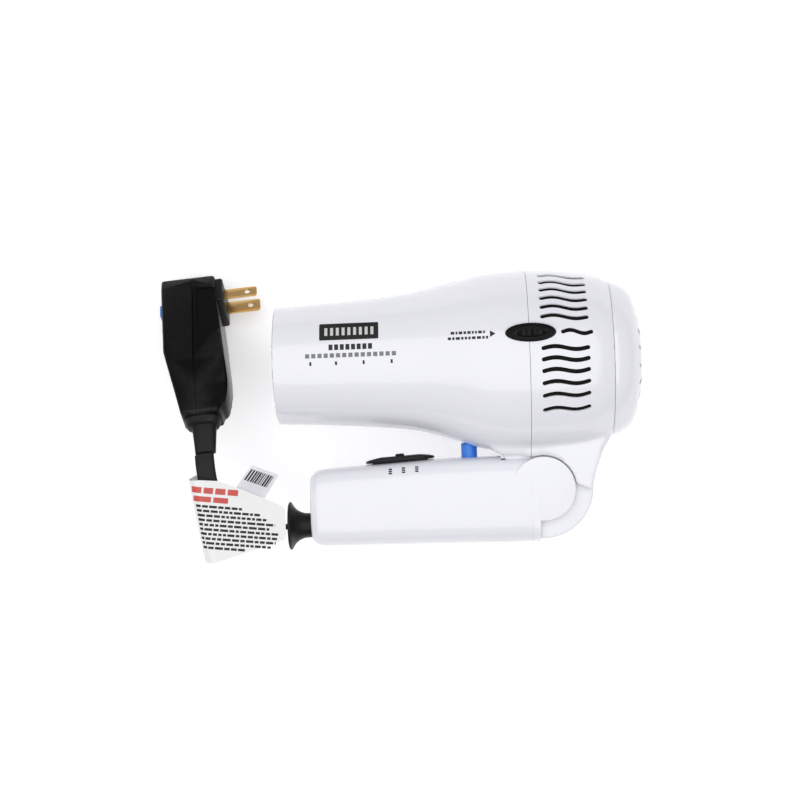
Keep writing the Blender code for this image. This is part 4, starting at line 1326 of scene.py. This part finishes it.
@dataclass
class Plug:
    """Safety plug at the cord's end: two shells, prong block, blades, two keys and the boot."""

    TILT = math.radians(34.5)
    TURN = math.radians(4.6)
    PRONG_MIDDLE = (16.9, 27.5, 0.0)

    end_h: float = 38.4
    end_s: float = 12.8
    parting: float = 4.9
    blade_h: float = 28.0
    blade_s: float = 6.35
    boot_power: float = 0.7

    def __post_init__(self) -> None:
        """Find the place of the plug's frame."""
        self.place = plug_place()

    def body(self, name: str, inset: float) -> Piece:
        """Build the plug's body, shrunk by inset: its plan kept within its sides."""
        plan = [(-13.3, 38.4), (-12.0, -13.0), (-3.6, -52.0), (17.6, -52.0), (18.2, -48.6)]
        plan += [(20.2, -46.9), (21.2, -45.0), (22.4, -39.0), (22.8, -33.0), (22.4, -25.0), (17.2, 38.4)]
        middle = (4.5, -2.0)
        shrunk = []
        for b, h in plan:
            side = inset if b < middle[0] else -inset
            end = inset if h < -50.0 else (-inset if h > 30.0 else 0.0)
            shrunk.append((b + side, h + end))
        made = slab(name, shrunk, -16.0, 16.0)
        side = [
            (self.end_h - inset, self.end_s - inset), (30.0, 15.0 - inset), (-20.0, 15.0 - inset),
            (-37.0, 9.4 - inset), (-52.0 + inset, 8.8 - inset),
        ]
        outline = side + [(h, -s) for h, s in reversed(side)]
        return carve(made, slab("side", outline, -20.0, 30.0, Axis.X), Cut.KEEP)

    def build_shells(self) -> list[Piece]:
        """Build the two shells, their chamfers, the panel, the windows and the parting groove.

        Returns:
            The front and back shells.
        """
        shell = eased(self.body("shell", 0.0), 2.2, 4, 34.0)
        carve(shell, self.body("hollow", 2.6), Cut.TAKE)
        for side in (1, -1):
            low, high = sorted((14.4 * side, 20.0 * side))
            panel = box("panel", (7.4, -2.0, low), (26.0, 27.7, high))
            carve(shell, panel, Cut.TAKE)
            low, high = sorted((13.9 * side, 20.0 * side))
            line = box("groove", (self.parting - 0.3, -60.0, low), (self.parting + 0.3, 60.0, high))
            carve(shell, line, Cut.TAKE)
        carve(shell, box("prongs", (10.0, 19.3, -13.2), (30.0, 35.7, 13.2)), Cut.TAKE)
        carve(shell, box("boot", (1.6, -60.0, -3.9), (14.2, -45.0, 3.9)), Cut.TAKE)
        carve(shell, box("test", (-20.0, 17.4, -1.3), (-9.0, 25.6, 7.3)), Cut.TAKE)
        carve(shell, box("reset", (-20.0, 5.2, -0.8), (-9.0, 11.2, 6.8)), Cut.TAKE)
        front = twin(shell, "plug_half_front")
        carve(front, box("back", (-40, -80, -40), (self.parting + 0.12, 80, 40)), Cut.TAKE)
        shell.name = "plug_half_back"
        carve(shell, box("front", (self.parting - 0.12, -80, -40), (60, 80, 40)), Cut.TAKE)
        return [
            settle(front, self.place, "handle", BLACK, ["plug_front_shell"]),
            settle(shell, self.place, "handle", BLACK, ["plug_back_shell"]),
        ]

    def build_prongs(self) -> list[Piece]:
        """Build the block that holds the blades, and both blades with round tips and holes."""
        block = eased(box("prong_face", (12.0, 19.6, -12.9), (21.8, 35.4, 12.9)), 1.3, 4)
        made = []
        for name, s, half in (("narrow", self.blade_s, 3.175), ("wide", -self.blade_s, 3.95)):
            low = (8.0, self.blade_h - half - 0.3, s - 1.05)
            high = (30.0, self.blade_h + half + 0.3, s + 1.05)
            carve(block, box("seat", low, high), Cut.TAKE)
            tip = 1.5
            corner = arc((40.5 - tip, self.blade_h + half - tip), tip, 90, 0, 7)
            lower = arc((40.5 - tip, self.blade_h - half + tip), tip, 0, -90, 7)
            outline = [(9.0, self.blade_h - half), (9.0, self.blade_h + half), *corner, *lower]
            blade = slab("plug_blade_" + name, outline, s - 0.75, s + 0.75)
            eased(blade, 0.3, 2)
            hole = rod("hole", (35.0, self.blade_h, s - 3), (35.0, self.blade_h, s + 3), 1.55, 32)
            carve(blade, hole, Cut.TAKE)
            made.append(settle(blade, self.place, "handle", BRASS, ["blade_" + name]))
        made.append(settle(block, self.place, "handle", BLACK_SATIN, ["prong_block"]))
        return made

    def build_keys(self) -> list[Piece]:
        """Build the test and reset keys with round edges."""
        test = eased(box("test_key", (-15.2, 17.8, -0.9), (-9.0, 25.2, 6.9)), 0.8, 4)
        reset = eased(box("reset_key", (-14.0, 5.6, -0.4), (-9.0, 10.8, 6.4)), 0.8, 4)
        return [
            settle(test, self.place, "test", BLUE, ["test_button"]),
            settle(reset, self.place, "reset", RED, ["reset_button"]),
        ]

    def build_boot(self) -> Piece:
        """Build the boot: a collar against the plug, then a taper that bends down to the cord."""
        collar = [
            (-49.0, 7.9, 0.0, 6.0, 3.4), (-51.9, 7.9, 0.0, 6.0, 3.4), (-52.2, 7.3, 0.0, 9.4, 6.6),
            (-53.4, 7.3, 0.0, 9.9, 7.0), (-56.2, 7.3, 0.0, 8.8, 6.2), (-56.9, 7.4, 0.0, 8.0, 5.4),
        ]
        taper = [
            (-57.2, 7.8, -0.3, 6.9, 4.2), (-60.0, 7.9, -0.7, 6.5, 3.7), (-66.0, 7.9, -2.0, 6.0, 2.8),
            (-71.4, 7.8, -3.4, 5.6, 2.0),
        ]
        count = 48
        rings = []
        for h, b, s, wide, thick in collar + curve_through(taper, 6):
            turns = [FULL_TURN * (i + 0.5) / count for i in range(count)]
            rings.append(
                [
                    (
                        b + wide * rounded_power(math.cos(a), self.boot_power),
                        h,
                        s + thick * rounded_power(math.sin(a), self.boot_power),
                    )
                    for a in turns
                ]
            )
        boot = loft("boot_taper", rings)
        return settle(boot, self.place, "handle", CORD_BLACK, ["plug_strain_relief"])

    def build(self) -> list[Piece]:
        """Build the whole plug and return its pieces, its packed board among them."""
        dress("plug_board", BOARD)
        pieces = self.build_shells() + self.build_prongs() + self.build_keys()
        return pieces + [self.build_boot(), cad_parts["plug_board"]]


@dataclass
class Tags:
    """Care tag, rolled over at its far edge, and the small stock tag under it."""

    place: Matrix
    thick: float = 0.4
    roll: float = 5.6
    fold_from: Point2 = (-186.4, -60.0)
    fold_to: Point2 = (-179.8, -101.0)
    row_slope: float = -8.0
    row_step: float = 2.5
    row_tall: float = 1.3
    row_reach: tuple[float, ...] = (24.0, 33.0, 36.0, 40.0, 37.0, 41.0, 40.0, 39.0, 36.0, 22.0)
    word_space: float = 0.7
    heading_space: float = 1.2
    fall: float = 0.38
    fall_from: float = 185.0
    film_steps: Point2 = (1.2, 2.0)

    def height(self, x: float, y: float) -> float:
        """Return the height of the care tag's face, a little arched across."""
        arch = 0.9 * math.sin(math.pi * (y + 104.0) / 46.0) * min(max((-140.0 - x) / 40.0, 0.0), 1.0)
        return 30.6 - self.fall * (x + self.fall_from) + arch

    def beyond(self, x: float, y: float) -> tuple[float, Vector]:
        """Return how far a point lies past the start of the roll, and the way out."""
        start, end = Vector(self.fold_from), Vector(self.fold_to)
        along = (end - start).normalized()
        out = Vector((along.y, -along.x))
        if out.x > 0.0:
            out = -out
        return (Vector((x, y)) - start).dot(out) + self.roll, out

    def on_face(self, rise: float) -> Callable[[float, float], Point3]:
        """Return a map from the flat tag to its rolled place, some way above its face."""

        def wrap(x: float, y: float) -> Point3:
            """Lay a point of the flat film on the rolled tag."""
            past, out = self.beyond(x, y)
            if past <= 0.0:
                return (x, y, self.height(x, y) + rise)
            base = Vector((x, y)) - out * past
            top = self.height(base.x, base.y)
            turn = min(past / self.roll, math.pi)
            rest = past - turn * self.roll
            reach = (self.roll + rise) * math.sin(turn) - rest
            drop = self.roll - (self.roll + rise) * math.cos(turn)
            spot = base + out * reach
            return (spot.x, spot.y, top - drop)

        return wrap

    def build_care_tag(self) -> list[Piece]:
        """Build the film and its rows of plain marks: red heading rows, then small dark rows."""
        outline = [
            (-206.0, -56.8), (-192.0, -58.4), (-180.5, -58.2), (-170.0, -59.2), (-159.0, -64.2),
            (-146.0, -70.4), (-137.4, -75.0), (-136.6, -76.6), (-136.6, -91.4), (-137.6, -93.0),
            (-146.0, -95.4), (-174.6, -103.4), (-180.0, -102.8), (-198.0, -98.0),
        ]
        film = printed("care_film", [outline], self.on_face(0.0), self.film_steps, self.thick)
        made = [settle(film, self.place, "handle", FILM, ["care_tag"])]
        chance = random.Random(11)
        turn = math.radians(self.row_slope)
        dark = []
        for row, reach in enumerate(self.row_reach):
            left = Vector((-182.6 + 0.3 * row, -71.0 - self.row_step * row))
            run = 0.0
            while run < reach:
                word = chance.uniform(1.4, 4.2)
                dark.append(self.bar(left, turn, run, min(word, reach - run), self.row_tall))
                run += word + self.word_space
        red = []
        headings = (
            ((-184.8, -61.2), (5.6, 4.8, 5.2, 5.4), 3.2),
            ((-184.0, -66.2), (9.6, 7.6), 2.9),
        )
        for start, widths, tall in headings:
            run = 0.0
            for width in widths:
                red.append(self.bar(Vector(start), turn, run, width, tall))
                run += width + self.heading_space
        rows = printed("care_rows", dark, self.on_face(self.thick + OVER_RISE), self.film_steps)
        made.append(settle(rows, self.place, "handle", INK))
        heading = printed("care_heading", red, self.on_face(self.thick + OVER_RISE), self.film_steps)
        made.append(settle(heading, self.place, "handle", RED_INK))
        return made

    def bar(self, left: Vector, turn: float, run: float, width: float, tall: float) -> list[Point2]:
        """Return one bar of a slanted row.

        Args:
            left: Upper left end of the row.
            turn: Slope of the row, in radians.
            run: Start of the bar along the row.
            width: Width of the bar.
            tall: Height of the bar.

        Returns:
            Its four corners.
        """
        along = Vector((math.cos(turn), math.sin(turn)))
        down = Vector((along.y, -along.x)) * tall
        first, last = left + along * run, left + along * (run + width)
        return [tuple(first + down), tuple(last + down), tuple(last), tuple(first)]

    def build_stock_tag(self) -> list[Piece]:
        """Build the silver tag and its dark stripes of several widths."""

        def wrap(rise: float) -> Callable[[float, float], Point3]:
            """Return the map onto the tag's own slope."""
            return lambda x, y: (x, y, 30.8 - self.fall * (x + self.fall_from) - 1.6 + rise)

        outline = [(-153.4, -51.4), (-139.4, -57.2), (-149.0, -72.6), (-163.6, -65.4)]
        film = printed("stock_film", [outline], wrap(0.0), (6.0, 6.0), self.thick)
        made = [settle(film, self.place, "handle", FOIL, ["stock_tag"])]
        origin, across = Vector(outline[0]), (Vector(outline[1]) - Vector(outline[0])).normalized()
        down = (Vector(outline[3]) - Vector(outline[0])).normalized()
        chance = random.Random(5)
        stripes, run = [], 1.2
        while run < 13.6:
            wide = chance.choice((0.35, 0.6, 0.9))
            first = origin + across * run + down * 2.0
            last = first + across * wide
            corners = (first, first + down * 7.0, last + down * 7.0, last)
            stripes.append([tuple(corner) for corner in corners])
            run += wide + chance.choice((0.4, 0.6))
        lines = printed("stock_stripes", stripes, wrap(self.thick + OVER_RISE), (9.0, 9.0))
        made.append(settle(lines, self.place, "handle", INK))
        return made

    def build(self) -> list[Piece]:
        """Build both tags and return their pieces."""
        return self.build_care_tag() + self.build_stock_tag()


@dataclass
class FreeCord:
    """Flat cord that arches from the guide to the boot, with the plug and the tags on it."""

    place: Matrix
    width: float = 10.5
    thick: float = 2.8
    exit: Point3 = (-126.0, -86.2, 0.0)
    route: list[tuple[float, float, float, float]] = field(
        default_factory=lambda: [
            (-126.0, -86.2, 0.0, 0), (-132.6, -86.3, 0.1, 0), (-139.0, -86.6, 0.8, 0),
            (-145.4, -86.9, 2.4, 4), (-151.8, -86.6, 5.0, 12), (-158.0, -85.2, 8.4, 24),
            (-163.8, -82.4, 12.3, 38), (-168.8, -77.8, 16.2, 54), (-172.6, -71.8, 19.6, 68),
            (-175.2, -65.0, 21.9, 79), (-176.9, -58.0, 22.9, 86), (-177.9, -51.0, 22.3, 90),
            (-178.5, -44.9, 20.6, 90),
        ]
    )

    def build(self) -> None:
        """Lay the cord along its route, then build what is on it."""
        data = bpy.data.curves.new("flat_cord", "CURVE")
        data.dimensions = "3D"
        data.twist_mode = "Z_UP"
        data.bevel_depth = self.thick / 2 * MM
        data.extrude = (self.width - self.thick) / 2 * MM
        data.bevel_resolution = 4
        data.use_fill_caps = True
        spline = data.splines.new("POLY")
        points = curve_through(self.route, 4)
        spline.points.add(len(points) - 1)
        for point, (x, y, z, tilt) in zip(spline.points, points):
            point.co = (*(self.place @ Vector((x, y, z))), 1.0)
            point.tilt = math.radians(tilt)
        spline.use_smooth = True
        data.materials.append(CORD_BLACK.material())
        cord = bpy.data.objects.new("flat_cord", data)
        bpy.context.scene.collection.objects.link(cord)
        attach(cord, "handle")
        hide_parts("cord")
        on_cord = Plug().build() + Tags(self.place).build()
        tuple(self.place @ Vector(self.exit))


# Light, floor and camera.


@dataclass
class Studio:
    """Pale floor, soft overhead light and the camera above the dryer."""

    camera_at: Point3 = (0.00255, 0.0059, 1.0597)
    camera_aim: Point3 = (-0.03245, 0.0059, 0.0497)
    roll: float = math.radians(2.0)
    lens: float = 82.6
    floor_side: float = 6.0
    floor_drop: float = 0.0002
    floor_glow: float = 0.3
    sensor: float = 36.0
    room_glow: float = 0.35
    overhead_watts: float = 33.5
    left_watts: float = 1.2

    def build_camera(self) -> None:
        """Stand the camera over the dryer, turned a little so that the barrel rises to the right."""
        data = bpy.data.cameras.new("camera")
        data.lens = self.lens
        data.sensor_width = self.sensor
        camera = bpy.data.objects.new("camera", data)
        bpy.context.scene.collection.objects.link(camera)
        at, aim = Vector(self.camera_at), Vector(self.camera_aim)
        forward = (aim - at).normalized()
        right = Vector((math.cos(self.roll), -math.sin(self.roll), 0.0))
        right = (right - forward * right.dot(forward)).normalized()
        up = right.cross(forward)
        turn = Matrix((right, up, -forward)).transposed().to_4x4()
        camera.matrix_world = Matrix.Translation(at) @ turn
        bpy.context.scene.camera = camera

    def build_floor(self) -> None:
        """Lay a pale matt floor just under the dryer, glowing a little so that it stays white."""
        bpy.ops.object.select_all(action="DESELECT")
        bpy.ops.mesh.primitive_plane_add(size=self.floor_side, location=(0.0, 0.0, -self.floor_drop))
        floor = started("floor")
        made = bpy.data.materials.new("pale_floor")
        made.use_nodes = True
        tree = made.node_tree
        shader = tree.nodes["Principled BSDF"]
        noise = tree.nodes.new("ShaderNodeTexNoise")
        place = tree.nodes.new("ShaderNodeTexCoord")
        noise.inputs["Scale"].default_value = 3.0
        tree.links.new(place.outputs["Object"], noise.inputs["Vector"])
        tone = mixed(tree, noise.outputs["Fac"], (0.93, 0.93, 0.93), (0.95, 0.95, 0.95))
        tree.links.new(tone.outputs[2], shader.inputs["Base Color"])
        shader.inputs["Roughness"].default_value = 0.9
        shader.inputs["Specular IOR Level"].default_value = 0.1
        shader.inputs["Emission Color"].default_value = (1.0, 1.0, 1.0, 1.0)
        shader.inputs["Emission Strength"].default_value = self.floor_glow
        floor.data.materials.append(made)

    def add_light(self, name: str, at: Point3, aim: Point3, size: Point2, power: float) -> None:
        """Hang one soft rectangular light.

        Args:
            name: Name of the light.
            at: Where it hangs.
            aim: Point that it faces.
            size: Its two sides.
            power: Its power in watts.
        """
        data = bpy.data.lights.new(name, "AREA")
        data.shape = "RECTANGLE"
        data.size, data.size_y = size
        data.energy = power
        light = bpy.data.objects.new(name, data)
        light.location = at
        light.rotation_euler = (Vector(aim) - Vector(at)).to_track_quat("-Z", "Y").to_euler()
        bpy.context.scene.collection.objects.link(light)

    def build_light(self) -> None:
        """Light the dryer softly from above, with a weak light at its left."""
        world = bpy.data.worlds.new("soft_room")
        world.use_nodes = True
        sky = world.node_tree.nodes["Background"]
        sky.inputs["Color"].default_value = (0.95, 0.96, 1.0, 1.0)
        sky.inputs["Strength"].default_value = self.room_glow
        bpy.context.scene.world = world
        self.add_light("overhead", (-0.02, 0.02, 1.7), (-0.02, 0.0, 0.05), (2.6, 2.6), self.overhead_watts)
        self.add_light("left_side", (-1.2, 0.1, 0.7), (-0.05, 0.0, 0.05), (0.5, 1.0), self.left_watts)
        view = bpy.context.scene.view_settings
        view.view_transform = "Standard"
        view.look = "None"

    def build(self) -> None:
        """Build the camera, the floor and the light."""
        self.build_camera()
        self.build_floor()
        self.build_light()


def main() -> None:
    """Build the studio, the cord, the handle and the housing, piece by piece."""
    logging.basicConfig(level=logging.INFO, format="%(message)s")
    Studio().build()
    dryer = Dryer()
    FreeCord(dryer.place).build()
    Handle(dryer.place).build()
    dryer.build()


if __name__ == "__main__":
    main()
